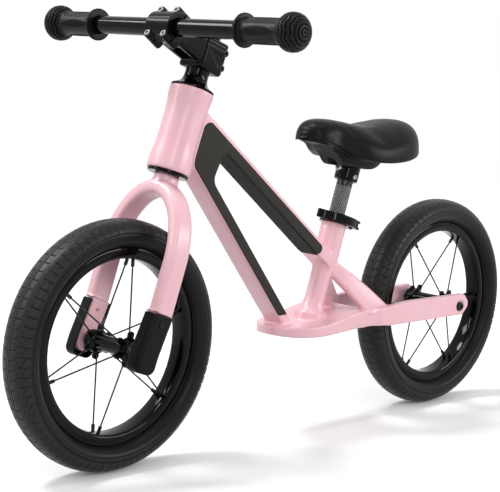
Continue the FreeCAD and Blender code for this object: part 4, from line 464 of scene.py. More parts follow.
# %% Knurled seat post
POST_LEAN = math.radians(17.2)
KNURL_COUNT = 18
KNURL_PITCH_MM = 4.0
KNURL_END = (0.053, 0.055)
SEAT_TUBE_TOP = Vector((-0.0798, 0, 0.2799))
knurled, tree, shader = new_material("knurled_black_tube", "#1A1A1B", Roughness=0.25, Specular_IOR_Level=0.4)
place = add(tree, "TexCoord")
upright = add(tree, "Mapping", {"Vector": place.outputs["Object"]}, vector_type="TEXTURE")
upright.inputs["Location"].default_value = SEAT_TUBE_TOP
upright.inputs["Rotation"].default_value = (0, -POST_LEAN, 0)
axes = add(tree, "SeparateXYZ", {"Vector": upright.outputs["Vector"]})
turn = add(tree, "Math", {0: axes.outputs["Y"], 1: axes.outputs["X"]}, operation="ARCTAN2")
round_count = add(tree, "Math", {0: turn.outputs[0]}, {1: KNURL_COUNT}, operation="MULTIPLY")
climb = add(tree, "Math", {0: axes.outputs["Z"]}, operation="MULTIPLY")
climb.inputs[1].default_value = 2 * math.pi * per_metre(KNURL_PITCH_MM)
rising = add(tree, "Math", {0: round_count.outputs[0], 1: climb.outputs[0]}, operation="ADD")
falling = add(tree, "Math", {0: round_count.outputs[0], 1: climb.outputs[0]}, operation="SUBTRACT")
wave_a = add(tree, "Math", {0: rising.outputs[0]}, operation="SINE")
wave_b = add(tree, "Math", {0: falling.outputs[0]}, operation="SINE")
diamonds = add(tree, "Math", {0: wave_a.outputs[0], 1: wave_b.outputs[0]}, operation="MAXIMUM")
band = fading(tree, axes.outputs["Z"], *KNURL_END)
ridges = add(tree, "Math", {0: diamonds.outputs[0], 1: band}, operation="MULTIPLY")
tint(tree, shader, ridges.outputs[0], "#040404", "#98989A", 0.55, 0.95)
relief(tree, shader, ridges.outputs[0], 0.3, 1.0, edge_mm=0.3)
print("knurl ridges round the post", KNURL_COUNT)

# %% [markdown]
# ## Pieces that keep their CAD shape
# Bolts, bearings, spokes, tubes and covers have the right shape already. Each gets a finished copy: its
# points are merged, its curved faces are shaded smooth up to a sharp angle, and it takes the finish of its
# real material.

# %% Finished copies of the CAD nodes
record = frame["record"]
body_of = {node: body for body, members in record["behaviour"]["bodies"].items() for node in members}
SHARP = math.radians(32)


def merged_copy(node):
    """A copy of a CAD node's mesh with its doubled points joined and its old shading dropped."""
    mesh = nodes[node].data.copy()
    mesh.name = node
    if "custom_normal" in mesh.attributes:
        mesh.attributes.remove(mesh.attributes["custom_normal"])
    return outward(mesh)


def finished(node, material, shift=0.0):
    """A finished copy stands for its CAD node and rides on the same body; shift moves it along x."""
    mesh = merged_copy(node)
    mesh.transform(Matrix.Translation((shift, 0, 0)))
    mesh.set_sharp_from_angle(angle=SHARP)
    return piece(node + "_finished", mesh, material, body_of[node], [node])


FINISHES = [
    (gloss_black, ["fork_crown_seal", "headset_cover", "stem_top_cap", "seat_collar", "quick_release_nut"]),
    (gloss_black, ["front_hub_shell", "rear_hub_shell"]),
    (satin_black, ["handlebar"]),
    (knurled, ["seat_post"]),
    (nylon, ["quick_release_washer"]),
    (bolt_steel, ["stem_faceplate_bolts"]),
    (black_screw, ["stem_pinch_bolts", "stem_top_cap_bolt"]),
    (black_screw, ["front_spokes", "rear_spokes", "front_spoke_nipples", "rear_spoke_nipples"]),
    (black_screw, ["front_axle_bolts", "rear_axle_bolts"]),
    (grip_rubber, ["front_valve", "rear_valve"]),
    (bright_steel, ["quick_release_bolt", "saddle_clamp_bolts", "front_axle_spacers", "rear_axle_spacers"]),
    (bright_steel, ["front_axle_washers", "rear_axle_washers", "front_hub_bearings", "rear_hub_bearings"]),
    (bright_steel, ["front_axle", "rear_axle"]),
]
for material, group in FINISHES:
    for node in group:
        finished(node, material)

# %% Pieces that lie inside others only take a finish
INSIDE = [
    (bright_steel, ["headset_bearing_lower", "headset_bearing_upper", "steerer_tube", "steerer_star_nut"]),
    (bright_steel, ["saddle_bolt"]),
    (grip_rubber, ["front_inner_tube", "rear_inner_tube"]),
]
for material, group in INSIDE:
    for node in group:
        nodes[node].data.materials.clear()
        nodes[node].data.materials.append(material)
print(sum(len(group) for _, group in INSIDE), "hidden pieces finished")

# %% [markdown]
# ## The castings
# The frame and the fork are poured in one piece each, so no edge on them is sharp and every junction swells
# into the next part. The CAD solid is turned into an even skin of small squares. Then each point moves
# towards the mean of its neighbours, many times: p' = p + share (mean - p). The share is larger near the
# junctions, so they blend more.

# %% Skins of small squares
SKIN_STEP = 1.6 * MM
CASTING_TRIANGLES = 190000
SMALL_TRIANGLES = 60000


def evaluated_copy(name, mesh, kind, **settings):
    """The mesh that a throwaway object has after one modifier."""
    holder = bpy.data.objects.new(name, mesh)
    bpy.context.scene.collection.objects.link(holder)
    modifier = holder.modifiers.new(kind, kind)
    for key, value in settings.items():
        setattr(modifier, key, value)
    graph = bpy.context.evaluated_depsgraph_get()
    result = bpy.data.meshes.new_from_object(holder.evaluated_get(graph))
    bpy.data.objects.remove(holder)
    return result


def voxel_skin(name, mesh, step):
    """The mesh as an even skin of small squares, step wide."""
    return evaluated_copy(name, mesh, "REMESH", mode="VOXEL", voxel_size=step)


def thinned(name, mesh, most):
    """The mesh with triangles merged until about the given number is left."""
    triangles = sum(len(face.vertices) - 2 for face in mesh.polygons)
    return evaluated_copy(name, mesh, "DECIMATE", ratio=min(1.0, most / triangles))


# %% Blending
RETURN_SHARE = 0.85


def points_of(mesh):
    """The mesh's points as an array (count, 3)."""
    flat = np.empty(len(mesh.vertices) * 3, np.float32)
    mesh.vertices.foreach_get("co", flat)
    return flat.reshape(-1, 3).astype(float)


def set_points(mesh, points):
    """Put an array of points back into the mesh."""
    mesh.vertices.foreach_set("co", points.reshape(-1).astype(np.float32))
    mesh.update()


def blended(mesh, share, rounds):
    """Move each point towards its neighbours' mean, share of the way, and then 0.85 of the share back out, so
    that nothing thins."""
    count = len(mesh.vertices)
    edges = np.empty(len(mesh.edges) * 2, np.int32)
    mesh.edges.foreach_get("vertices", edges)
    first, second = edges.reshape(-1, 2).T
    degree = np.bincount(first, minlength=count) + np.bincount(second, minlength=count)
    points = points_of(mesh)
    for turn in range(2 * rounds):
        total = np.stack([
            np.bincount(first, points[second, axis], count) + np.bincount(second, points[first, axis], count)
            for axis in range(3)
        ], -1)
        step = share if turn % 2 == 0 else -RETURN_SHARE * share
        points += step[:, None] * (total / degree[:, None] - points)
    set_points(mesh, points)


# %% [markdown]
# ### The fork's ends
# On the real fork the leg and its end cover run on in one line. The CAD model has a step there, 93 mm up the
# leg, so the finished copies of the leg's end and of its cover are sheared back by up to 5.6 mm. The leg
# leans as the head tube does, so lengths along it and across it are sums of x and z.

# %% Straight fork ends
LEAN_UP = 0.9461
LEAN_BACK = 0.3239
LEG_STEP = 93.0
LEG_STEP_TILT = 0.09
LEG_STEP_MIDDLE = 290
LEG_AXLE = 44.0
LEG_SHIFT = -5.6
COVER_MIDDLE = 342.8
COVER_FOOT = 18.7
COVER_ROUND = 13.0
COVER_HALF = 17.0
UNHELD = 99


def straight_leg(points):
    """Bring a fork end into one line with its leg. The height along the leg is h = 0.9461 z - 0.3239 x. From
    the axle at h = 44 mm up to the step at 93 mm the shift in x grows evenly to -5.6 mm. The step itself
    lies a little higher towards the front, by 0.09 of the way forward."""
    moved = points.copy()
    height = (LEAN_UP * points[:, 2] - LEAN_BACK * points[:, 0]) / MM
    share = np.clip((height - LEG_AXLE) / (LEG_STEP - LEG_AXLE), 0, 1)
    step = LEG_STEP + LEG_STEP_TILT * (points[:, 0] / MM - LEG_STEP_MIDDLE)
    moved[:, 0] += np.where(height < step, LEG_SHIFT * share, 0) * MM
    return moved


def round_foot(points):
    """Round the lower end of a cover, then bring it into line. Along the leg's height h and across it at c,
    the last 13 mm keep |c| below 4 + 13 sqrt(1 - over^2), where over runs from 0 to 1 at the end."""
    height = (LEAN_UP * points[:, 2] - LEAN_BACK * points[:, 0]) / MM
    across = (LEAN_BACK * points[:, 2] + LEAN_UP * points[:, 0]) / MM - COVER_MIDDLE
    over = np.clip((COVER_FOOT + COVER_ROUND - height) / COVER_ROUND, 0, 1)
    room = COVER_HALF - COVER_ROUND + COVER_ROUND * np.sqrt(1 - over ** 2) + np.where(over > 0, 0, UNHELD)
    held = np.clip(across, -room, room) + COVER_MIDDLE
    rounded = points.copy()
    rounded[:, 0] = (LEAN_UP * held - LEAN_BACK * height) * MM
    rounded[:, 2] = (LEAN_BACK * held + LEAN_UP * height) * MM
    return straight_leg(rounded)


# %% Skin of a casting
PLAIN_SHARE = 0.12
JOINT_SHARE = 0.5
CASTING_ROUNDS = 10


def closeness(points, centres, reach):
    """1 at any of the centres, falling smoothly to 0 at reach from all of them."""
    distance = np.min([np.linalg.norm(points - np.array(centre), axis=1) for centre in centres], axis=0)
    t = np.clip(1 - distance / reach, 0, 1)
    return t * t * (3 - 2 * t)


def casting(name, node, extra, junctions, reach, reshape=None):
    """The skin of a cast node, joined with extra nodes that lie flush in it."""
    work = bmesh.new()
    for part in [node, *extra]:
        work.from_mesh(merged_copy(part))
    mesh = bpy.data.meshes.new(name)
    work.to_mesh(mesh)
    work.free()
    skin = voxel_skin(name, mesh, SKIN_STEP)
    points = points_of(skin)
    share = PLAIN_SHARE + JOINT_SHARE * closeness(points, junctions, reach)
    if reshape:
        set_points(skin, reshape(points))
    blended(skin, share, CASTING_ROUNDS)
    skin = thinned(name, skin, CASTING_TRIANGLES)
    skin.name = name
    return piece(name, outward(skin), pink_coat, body_of[node], [node])


# %% Frame and fork
HEAD_UP = np.array([-LEAN_BACK, 0, LEAN_UP])
HEAD_BOTTOM = np.array([0.23335, 0, 0.35897])
SEAT_UP = np.array([-0.2957, 0, 0.9553])
SEAT_TOP = np.array(SEAT_TUBE_TOP)
UPPER_BEAM_HEIGHT = 0.083
LOWER_BEAM_HEIGHT = 0.0377
SEAT_JOINT_DROP = 0.0527
upper_joint = HEAD_BOTTOM + HEAD_UP * UPPER_BEAM_HEIGHT
lower_joint = HEAD_BOTTOM + HEAD_UP * LOWER_BEAM_HEIGHT
seat_joint = SEAT_TOP - SEAT_UP * SEAT_JOINT_DROP
seat_stay_tops = (-0.065, 0, 0.228)
seat_stay_feet = [(-0.128, 0.05, 0.165), (-0.128, -0.05, 0.165)]
tube_foot = [(0.02, 0, 0.152), (-0.0396, 0, 0.155)]
frame_joints = [upper_joint, lower_joint, seat_joint, *tube_foot, *seat_stay_feet, seat_stay_tops]
JOINT_REACH = 0.034
casting("cast_frame", "frame", ["frame_inlay_left", "frame_inlay_right"], frame_joints, JOINT_REACH)
CROWN_DROP = 0.015
CROWN_REACH = 0.05
crown = HEAD_BOTTOM - HEAD_UP * CROWN_DROP
casting("cast_fork", "fork", [], [crown], CROWN_REACH, straight_leg)

# %% [markdown]
# ### Moulded and forged small parts
# The fork's end covers, the stem, its faceplate, the saddle's clamp and base and the lever come out of a
# mould or a die too, so their corners are rounder than the CAD model's. They get the same skin, with smaller
# squares.

# %% Rounded small parts
def softened(node, material, step_mm, share, rounds, reshape=None):
    """The skin of one node with its corners rounded by blending, and reshaped first where that is asked."""
    skin = voxel_skin(node, merged_copy(node), step_mm * MM)
    if reshape:
        set_points(skin, reshape(points_of(skin)))
    blended(skin, np.full(len(skin.vertices), share), rounds)
    skin = thinned(node, skin, SMALL_TRIANGLES)
    skin.name = node + "_rounded"
    return piece(skin.name, outward(skin), material, body_of[node], [node])


def short_keel(points):
    """Lift the base's underside near the nose: no point lies below a line that rises towards the front."""
    floor_x = np.array([-400, -82, -70, -60, -46, 0]) * MM
    floor_z = np.array([0, 350, 364, 376, 389, 397]) * MM
    lifted = points.copy()
    lifted[:, 2] = np.maximum(points[:, 2], np.interp(points[:, 0], floor_x, floor_z))
    return lifted


# The covers' screws go back with them, by the shift at their own height.
SCREW_SHIFT = -4.1 * MM
for side in ("left", "right"):
    softened("fork_cover_" + side, nylon, 0.9, 0.6, 26, round_foot)
finished("fork_cover_screws", black_screw, SCREW_SHIFT)
softened("stem", stem_black, 0.8, 0.5, 10)
softened("stem_faceplate", stem_black, 0.7, 0.5, 8)
softened("saddle_clamp", satin_black, 0.7, 0.5, 8)
softened("quick_release_lever", gloss_black, 0.6, 0.6, 20)
softened("saddle_base", base_grey, 1.0, 0.5, 10, short_keel)

# %% [markdown]
# ### Inlays
# The grey inlays lie on the frame's flat sides and line the triangle between the beams. Each has a lining,
# which is the CAD shape grown by half a millimetre, and a plate that is drawn as an outline with an arc at
# every corner and a softly rounded edge. The plate's face lies 17.4 mm from the middle and the frame's flat
# side 17 mm, so a fine shadow line runs round it.

# %% Inlays
INLAY_LIFT = 0.5 * MM
PLATE_FACE = 17.4
PLATE_BACK = 13.5
PLATE_EDGE = 0.7
LINING_TOP = 15.6
LINING_STEP = 0.9
MIDDLE_ZONE = 1.5
MIDDLE_OVERLAP = 1.0
PLATE_CORNERS = [
    (187.8, 427.2, 11), (207.5, 369.7, 15), (39.9, 166.0, 4), (23.4, 166.0, 2), (172.6, 347.7, 15),
    (154.5, 385.3, 9), (-33.3, 241.1, 6.7), (-42.0, 252.0, 6.7),
]


def rounded_outline(corners, spacing):
    """Even points round a polygon of (x, z, radius). At a corner the arc's centre lies radius / sin(half the
    angle) from it, on the line that halves the angle."""
    ring = []
    for k, (x, z, radius) in enumerate(corners):
        corner = np.array([x, z])
        back = np.array(corners[k - 1][:2]) - corner
        onward = np.array(corners[(k + 1) % len(corners)][:2]) - corner
        back /= np.linalg.norm(back)
        onward /= np.linalg.norm(onward)
        half = math.acos(float(np.clip(back @ onward, -1, 1))) / 2
        centre = corner + (back + onward) / np.linalg.norm(back + onward) * radius / math.sin(half)
        reach = radius / math.tan(half)
        start, end = corner + back * reach - centre, corner + onward * reach - centre
        for t in np.linspace(0, 1, 12):
            spoke = start * (1 - t) + end * t
            ring.append(centre + spoke / np.linalg.norm(spoke) * radius)
    ring = np.array(ring + [ring[0]])
    length = np.concatenate([[0], np.cumsum(np.linalg.norm(np.diff(ring, axis=0), axis=1))])
    places = np.arange(0, length[-1], spacing)
    return np.stack([np.interp(places, length, ring[:, k]) for k in range(2)], -1)


def inlay_plate(side):
    """The plate: its outline carried from the back to the face over a quarter-round edge, and a flat cap."""
    outline = rounded_outline(PLATE_CORNERS, 0.8)
    run = np.roll(outline, -1, axis=0) - np.roll(outline, 1, axis=0)
    inward = np.stack([-run[:, 1], run[:, 0]], -1) / np.linalg.norm(run, axis=1)[:, None]
    area = np.sum(outline[:, 0] * np.roll(outline[:, 1], -1) - np.roll(outline[:, 0], -1) * outline[:, 1])
    inward *= np.sign(area)
    flat_top = PLATE_FACE - PLATE_EDGE
    rows = [(0, PLATE_BACK), (0, flat_top)]
    for turn in np.linspace(0.3, 1.57, 5):
        rows.append((PLATE_EDGE - PLATE_EDGE * math.cos(turn), flat_top + PLATE_EDGE * math.sin(turn)))
    work = bmesh.new()
    rings = []
    for inset, y in rows:
        flat = outline + inward * inset
        rings.append([work.verts.new((x * MM, side * y * MM, z * MM)) for x, z in flat])
    for lower, upper in zip(rings, rings[1:]):
        for k in range(len(lower)):
            n = (k + 1) % len(lower)
            work.faces.new((lower[k], lower[n], upper[n], upper[k]))
    cap = work.faces.new(rings[-1])
    base = work.faces.new(rings[0][::-1])
    cap.normal_update()
    base.normal_update()
    bmesh.ops.triangulate(work, faces=[cap, base], ngon_method="EAR_CLIP")
    return work


def inlay_lining(side, sign):
    """The CAD shape grown along its normals. At the bike's middle it reaches 1 mm over, so that the left and
    the right lining leave no gap."""
    lining = voxel_skin("inlay", merged_copy("frame_inlay_" + side), LINING_STEP * MM)
    blended(lining, np.full(len(lining.vertices), 0.4), 3)
    points = points_of(lining)
    normals = np.empty(len(lining.vertices) * 3, np.float32)
    lining.vertices.foreach_get("normal", normals)
    points += normals.reshape(-1, 3) * INLAY_LIFT
    points[:, 1] = np.clip(points[:, 1], -LINING_TOP * MM, LINING_TOP * MM)
    near_middle = np.abs(points[:, 1]) < MIDDLE_ZONE * MM
    points[:, 1] -= sign * np.where(near_middle, MIDDLE_OVERLAP * MM, 0)
    set_points(lining, points)
    return thinned("inlay", lining, SMALL_TRIANGLES)


for side, sign in (("left", 1), ("right", -1)):
    lining = inlay_lining(side, sign)
    work = inlay_plate(sign)
    work.from_mesh(lining)
    mesh = bpy.data.meshes.new("inlay_" + side)
    work.to_mesh(mesh)
    work.free()
    mesh = outward(mesh)
    mesh.set_sharp_from_angle(angle=SHARP)
    piece("inlay_" + side, mesh, inlay_grey, "frame", ["frame_inlay_" + side])

# %% [markdown]
# ## The tyres
# A moulded tyre is one section carried round a circle, so its surface needs two numbers: how far round, and
# how far across. Round the wheel the tread repeats every 12 mm, 80 times. Across it has a narrow centre rib,
# a row of inner blocks, a row of outer blocks almost half a step later, and then the smooth sidewall with
# two fine raised lines. The straight cuts are real dents in the mesh and notch the outline; the slanted
# grooves between the rows, too thin for the mesh, come from the rubber's own pattern, as a bump with painted
# shade darkening them.

# %% Curves for sections
def smooth_line(corners, spacing):
    """Even points on a curve through the corners. Between b and c, with neighbours a and d, the place at
    share t is half of (2b + (c - a) t + (2a - 5b + 4c - d) t^2 + (3b - 3c + d - a) t^3)."""
    knots = np.array(corners, float)
    padded = np.vstack([2 * knots[0] - knots[1], knots, 2 * knots[-1] - knots[-2]])
    a, b, c, d = (padded[i:len(padded) - 3 + i, None] for i in range(4))
    t = np.linspace(0, 1, 40, endpoint=False)[None, :, None]
    square, cube = 2 * a - 5 * b + 4 * c - d, 3 * b - 3 * c + d - a
    curve = 0.5 * (2 * b + (c - a) * t + square * t ** 2 + cube * t ** 3)
    curve = np.vstack([curve.reshape(-1, knots.shape[1]), knots[-1]])
    length = np.concatenate([[0], np.cumsum(np.linalg.norm(np.diff(curve, axis=0), axis=1))])
    wanted = np.linspace(0, length[-1], max(2, round(length[-1] / spacing) + 1))
    return np.stack([np.interp(wanted, length, curve[:, k]) for k in range(knots.shape[1])], -1)


def notch(position, centre, flat, edge):
    """1 within flat of the centre of each whole step, falling to 0 over edge more."""
    distance = np.abs((position - centre + 0.5) % 1 - 0.5)
    return np.clip((flat + edge - distance) / edge, 0, 1)


def between(value, low, high, edge):
    """1 between low and high, falling to 0 over edge inside each."""
    return np.clip((value - low) / edge, 0, 1) * np.clip((high - value) / edge, 0, 1)


# %% Sizes of the tyre
WHEEL_CENTRES = {"front": (0.31, 0.153), "rear": (-0.31, 0.153)}
TREAD_STEPS = 80
OUTER_ROW_SHIFT = 0.45
CUT_DEPTH = 1.3
CUT_HALF = 0.05
CUT_EDGE = 0.022
CUT_GUARD = 0.095
PLAIN_ROW = 0.74
GROOVE_START = 8.5
GROOVE_RISE = 7
RIB_HALF = 3.8
RIB_CUT_DEPTH = 0.7
INNER_ROW = (1.8, 10.0)
TREAD_EDGE = 138.6
SIDEWALL_LINES = [(138.3, 139.3), (134, 134.9)]
LINE_HEIGHT = 0.35
SHOULDER = 22.8
FAR_ACROSS = 60.0
TYRE_HALF = [(0, 153), (6, 152.5), (12, 151), (18.1, 147.5), (22.3, 141), (23.5, 133)]
TYRE_HALF += [(22.9, 129), (20.8, 126), (17.9, 123), (13.8, 120.6), (11.4, 119.8)]
TOP_PLACES = [0, 1.32, 1.56, 2.24, 2.48, 3.8, 5.6, 7.4, 9.2, 9.5, 10.0, 10.3]
TOP_PLACES += [12.0, 13.6, 14.3, 14.9, 15.3, 16.6, 18.1]
SIDE_RADII = [145.5, 143.5, 141.5, 139.65, 139.3, 138.95, 138.65, 138.3, 136.6]
SIDE_RADII += [134.9, 134.55, 134.35, 134.0, 132, 129.5, 127, 124.5, 122.3, 120.8, 119.9]
# The foot goes down the bead and back up inside, so the tyre is hollow.
TYRE_FOOT = [(11.3, 117), (11.3, 108), (8.3, 108), (8.3, 118), (17.5, 127), (18.5, 137), (12, 147), (0, 149)]
print("tread steps", TREAD_STEPS, "of", round(2 * math.pi * TYRE_HALF[0][1] / TREAD_STEPS, 1), "mm")

# %% Tyre mesh
def tyre_half():
    """The right half of the outside as points (y, r) of a smooth curve: near the top at chosen places across,
    on the side at chosen radii. They lie close together where a cut or a raised line has an edge."""
    fine = smooth_line(TYRE_HALF, 0.05)
    index = np.arange(len(fine))
    widest = np.argmax(fine[:, 0])
    top = np.interp(TOP_PLACES, fine[:widest, 0], index[:widest])
    side = np.interp(SIDE_RADII, fine[::-1, 1], index[::-1])
    picks = np.concatenate([top, side])
    return np.stack([np.interp(picks, index, fine[:, k]) for k in (0, 1)], -1)


def tread_rows():
    """The places round one step that get a row of points: the edges of both cuts with a guard row beyond
    each, and one row in the plain stretch."""
    half = np.array([CUT_HALF, CUT_HALF + CUT_EDGE, CUT_GUARD])
    edges = np.concatenate([-half[::-1], half])
    return np.concatenate([edges, edges + OUTER_ROW_SHIFT, [PLAIN_ROW]])


def tyre_mesh(name, centre_x, centre_z):
    """Row u steps round at the angle 2 pi u / 80. Column (y, r) of the section, sunk by the cuts' depth along
    the section's normal, stands at x = centre + r cos(angle), z = centre + r sin(angle)."""
    half = tyre_half()
    foot = np.array(TYRE_FOOT, float)
    right = np.vstack([half, foot])
    section = np.vstack([right[:0:-1] * (-1, 1), right[:-1]])
    outside = np.full(len(section), False)
    outside[len(foot):len(foot) + 2 * len(half) - 1] = True
    slope = np.gradient(section, axis=0)
    normal = np.stack([-slope[:, 1], slope[:, 0]], -1)
    normal *= np.where(outside, 1, 0)[:, None] / np.linalg.norm(normal, axis=1)[:, None]
    y, r = section.T
    across = np.abs(y)
    steps = tread_rows()
    u = (np.arange(TREAD_STEPS)[:, None] + steps).reshape(-1)[:, None]
    slant = GROOVE_START + GROOVE_RISE * (u % 1)
    inner_row = notch(u, 0, CUT_HALF, CUT_EDGE) * between(across, *INNER_ROW, 0.5)
    beyond = np.clip((across - slant - 3) / 0.6, 0, 1) * np.clip((r - TREAD_EDGE) / 0.7, 0, 1) * outside
    outer_row = notch(u, OUTER_ROW_SHIFT, CUT_HALF, CUT_EDGE) * beyond
    rib = notch(across / RIB_HALF, 0.5, 0.09, 0.06) * (across < RIB_HALF)
    on_tread = outside & (r > TREAD_EDGE)
    depth = CUT_DEPTH * np.maximum(inner_row, outer_row) * on_tread + RIB_CUT_DEPTH * rib * on_tread
    lines = sum(between(r, low, high, 0.35) for low, high in SIDEWALL_LINES)
    raised = LINE_HEIGHT * lines * outside
    place = section[None] + normal[None] * (raised[None] - depth)[..., None]
    angle = 2 * np.pi * u / TREAD_STEPS
    x = centre_x + place[..., 1] * MM * np.cos(angle)
    z = centre_z + place[..., 1] * MM * np.sin(angle)
    arc = np.concatenate([[0], np.cumsum(np.linalg.norm(np.diff(half, axis=0), axis=1))])
    widest = np.argmax(half[:, 0])
    start = np.interp(SHOULDER, half[:widest, 0], arc[:widest])
    wide = np.where(arc < start, half[:, 0], SHOULDER + arc - start)
    lateral = np.r_[wide, np.full(len(foot), FAR_ACROSS)]
    v = np.r_[-lateral[:0:-1], lateral[:-1]]
    uv = (np.r_[u[:, 0], TREAD_STEPS + steps[0]], np.r_[v, v[-1]])
    return grid_mesh(name, np.stack([x, place[..., 0] * MM, z], -1), True, True, uv)


# %% Tyre rubber
tyre_rubber, tree, shader = new_material(
    "vulcanised_tyre_rubber", "#1C1C1C", Roughness=0.36, IOR=1.52, Specular_IOR_Level=0.14
)
layer = add(tree, "UVMap", uv_map="around")
axes = add(tree, "SeparateXYZ", {"Vector": layer.outputs["UV"]})
across = add(tree, "Math", {0: axes.outputs["Y"]}, operation="ABSOLUTE")


def slanted_groove(shift, start, rise, half_width):
    """1 on the line across = start + rise times the share of the step, 0 beyond half_width of it."""
    moved = add(tree, "Math", {0: axes.outputs["X"]}, {1: shift}, operation="ADD")
    share = add(tree, "Math", {0: moved.outputs[0]}, operation="FRACT")
    line = add(tree, "Math", {0: share.outputs[0]}, {1: rise, 2: start}, operation="MULTIPLY_ADD")
    gap = add(tree, "Math", {0: across.outputs[0], 1: line.outputs[0]}, operation="SUBTRACT")
    away = add(tree, "Math", {0: gap.outputs[0]}, operation="ABSOLUTE")
    return fading(tree, away.outputs[0], half_width * 0.6, half_width)


main_groove = slanted_groove(0, GROOVE_START, GROOVE_RISE, 0.5)
fine_groove = slanted_groove(-OUTER_ROW_SHIFT, 16.5, 5, 0.36)
grooves = add(tree, "Math", {0: main_groove, 1: fine_groove}, operation="MAXIMUM")
tread_zone = fading(tree, across.outputs[0], SHOULDER + 0.4, SHOULDER + 1)
cuts = add(tree, "Math", {0: grooves.outputs[0], 1: tread_zone}, operation="MULTIPLY")
level = add(tree, "Math", {1: cuts.outputs[0]}, {0: 1.0}, operation="SUBTRACT")
# The tread is rubbed lighter than the sidewall, and its slanted grooves are painted darker, as shade in the
# cuts.
worn = mixed_colour(tree, tread_zone, "#0A0A0A", "#282828")
groove_shade_inputs = {0: cuts.outputs[0], 6: worn}
sunk = add(tree, "Mix", groove_shade_inputs, {7: linear("#161616")}, data_type="RGBA")
tree.links.new(sunk.outputs[2], shader.inputs["Base Color"])
pores = grain(tree, 0.8, detail=3.0)
vary(tree, shader, pores.outputs["Fac"], "Roughness", 0.3, 0.44)
# The grooves' relief comes first, and the pores' fine relief lies on it.
block_bump = relief(tree, shader, level.outputs[0], 1.1, 1.0, edge_mm=0.3)
under = {"Height": pores.outputs["Fac"], "Normal": block_bump.outputs["Normal"]}
pore_bump = add(tree, "Bump", under, {"Strength": 0.5, "Distance": 0.06 * MM})
tree.links.new(pore_bump.outputs["Normal"], shader.inputs["Normal"])

# %% Tyres and rims
for end, (centre_x, centre_z) in WHEEL_CENTRES.items():
    node = end + "_tyre"
    mesh = outward(tyre_mesh(node + "_tread", centre_x, centre_z))
    piece(node + "_tread", mesh, tyre_rubber, body_of[node], [node])
    finished(end + "_rim", gloss_black)

# %% [markdown]
# ## The grips
# A child's grip is soft rubber on the end of the bar: an inner flange that keeps the hand from sliding
# inwards, a body with long petal-shaped pads covered in fine ribs, and a fat round end that guards the palm.
# The surface is a profile turned about the bar. The pads and ribs add a little height to it as it goes round,
# and the wavy rings of the end are cut into it.

# %% Grip mesh
BAR_X, BAR_Z = 0.244, 0.532
FLANGE_END = 131
PETALS = 4
PETAL_START = 134.5
PETAL_LENGTH = 51
RIB_PITCH = 2.5
RING_START = 191
RING_PITCH = 5.0
RING_DEPTH = 1.9
TURNS = 200
GRIP_LINE = [(0, 218), (11.2, 218), (11.2, 127), (12, 127), (18.8, 127), (19.8, 127.6), (20, 129)]
GRIP_LINE += [(19.8, 130.4), (18.8, 131), (15.6, 131.2), (14.6, 132), (14.2, 134), (14.2, 186), (15, 189)]
GRIP_LINE += [(17.4, 192), (20, 195), (21.8, 198.5), (22.5, 203), (22.2, 207.5), (20.8, 211.6), (18.4, 215)]
GRIP_LINE += [(15.2, 217.8), (11.4, 219.9), (7.2, 221), (3, 221.3), (0, 221.3)]


def grip_mesh(name, side):
    """The profile (r, y) turned about the bar: x = bar + r sin(turn), z = bar + r cos(turn). Each point moves
    along the profile's normal by the height of the ribs inside a petal, or by the depth of the end's rings,
    which lie every 5 mm along the profile and wave eight times round. A petal is where the cosine of 4 turn
    is more than 1 - 1.05 sin(pi along)^0.8, with along from 0 to 1 over the petal's length."""
    line = np.array(GRIP_LINE, float)
    steps = np.linalg.norm(np.diff(line, axis=0), axis=1)
    spacing = np.where(line[1:, 1] < FLANGE_END, 1.2, 0.36)
    counts = np.maximum(1, np.round(steps / spacing).astype(int))
    counts[:2] = 1
    shares = [np.linspace(0, 1, n, endpoint=False) for n in counts]
    ends = zip(line[:-1], line[1:], shares)
    profile = np.vstack([a + (b - a) * t[:, None] for a, b, t in ends] + [line[-1]])
    r, y = profile[:, :1], profile[:, 1:]
    slope = np.gradient(profile, axis=0)
    slope /= np.linalg.norm(slope, axis=1)[:, None]
    out_r, out_y = slope[:, 1:], -slope[:, :1]
    length = np.concatenate([[0], np.cumsum(np.linalg.norm(np.diff(profile, axis=0), axis=1))])[:, None]
    turn = np.linspace(0, 2 * np.pi, TURNS, endpoint=False)[None]
    along = np.clip((y - PETAL_START) / PETAL_LENGTH, 0, 1)
    lens = 1.05 * np.sin(np.pi * along) ** 0.8
    petal = np.clip((lens - 1 + np.cos(PETALS * turn)) * 6, 0, 1) * (along > 0) * (along < 1)
    ribs = 0.5 + 0.5 * np.cos(2 * np.pi * y / RIB_PITCH)
    body = petal * (0.2 + ribs)
    tip = length[-1] - length
    ringed = (y > RING_START) & (tip > 2.5)
    fade = np.clip((tip - 12) / 10, 0, 1)
    phase = (tip + 0.9 * fade * np.cos(8 * turn)) / RING_PITCH
    groove = np.clip(1.25 * np.cos(2 * np.pi * phase) - 0.1, 0, 1)
    dimple = 1.6 * (tip < 1.8) * (y > RING_START)
    lift = body - RING_DEPTH * groove * ringed - dimple
    x = BAR_X + (r + out_r * lift) * np.sin(turn) * MM
    z = BAR_Z + (r + out_r * lift) * np.cos(turn) * MM
    reach = side * (y + out_y * lift) * MM + 0 * turn
    return grid_mesh(name, np.stack([x, reach, z], -1), False, True)


for side, sign in (("left", 1), ("right", -1)):
    node = "grip_" + side
    mesh = outward(grip_mesh(node + "_ribbed", sign))
    piece(node + "_ribbed", mesh, grip_rubber, body_of[node], [node])

# %% [markdown]
# ## The saddle
# A child's saddle is a foam pad under a stretched vinyl skin, glued to a plastic tray. Its top is a surface
# of two numbers: a place along the bike, where the width, the top and the lower edge are known, and a turn
# round the section from one lower edge over the crown to the other. Then a short cloth simulation with a
# little air under the skin swells it, as foam does.

# %% Saddle surface
END_CAP = [(0, 1.6), (0.4, 1.5), (0.75, 1.0)]
ROUNDNESS = 0.8
HOLLOW = 4.8
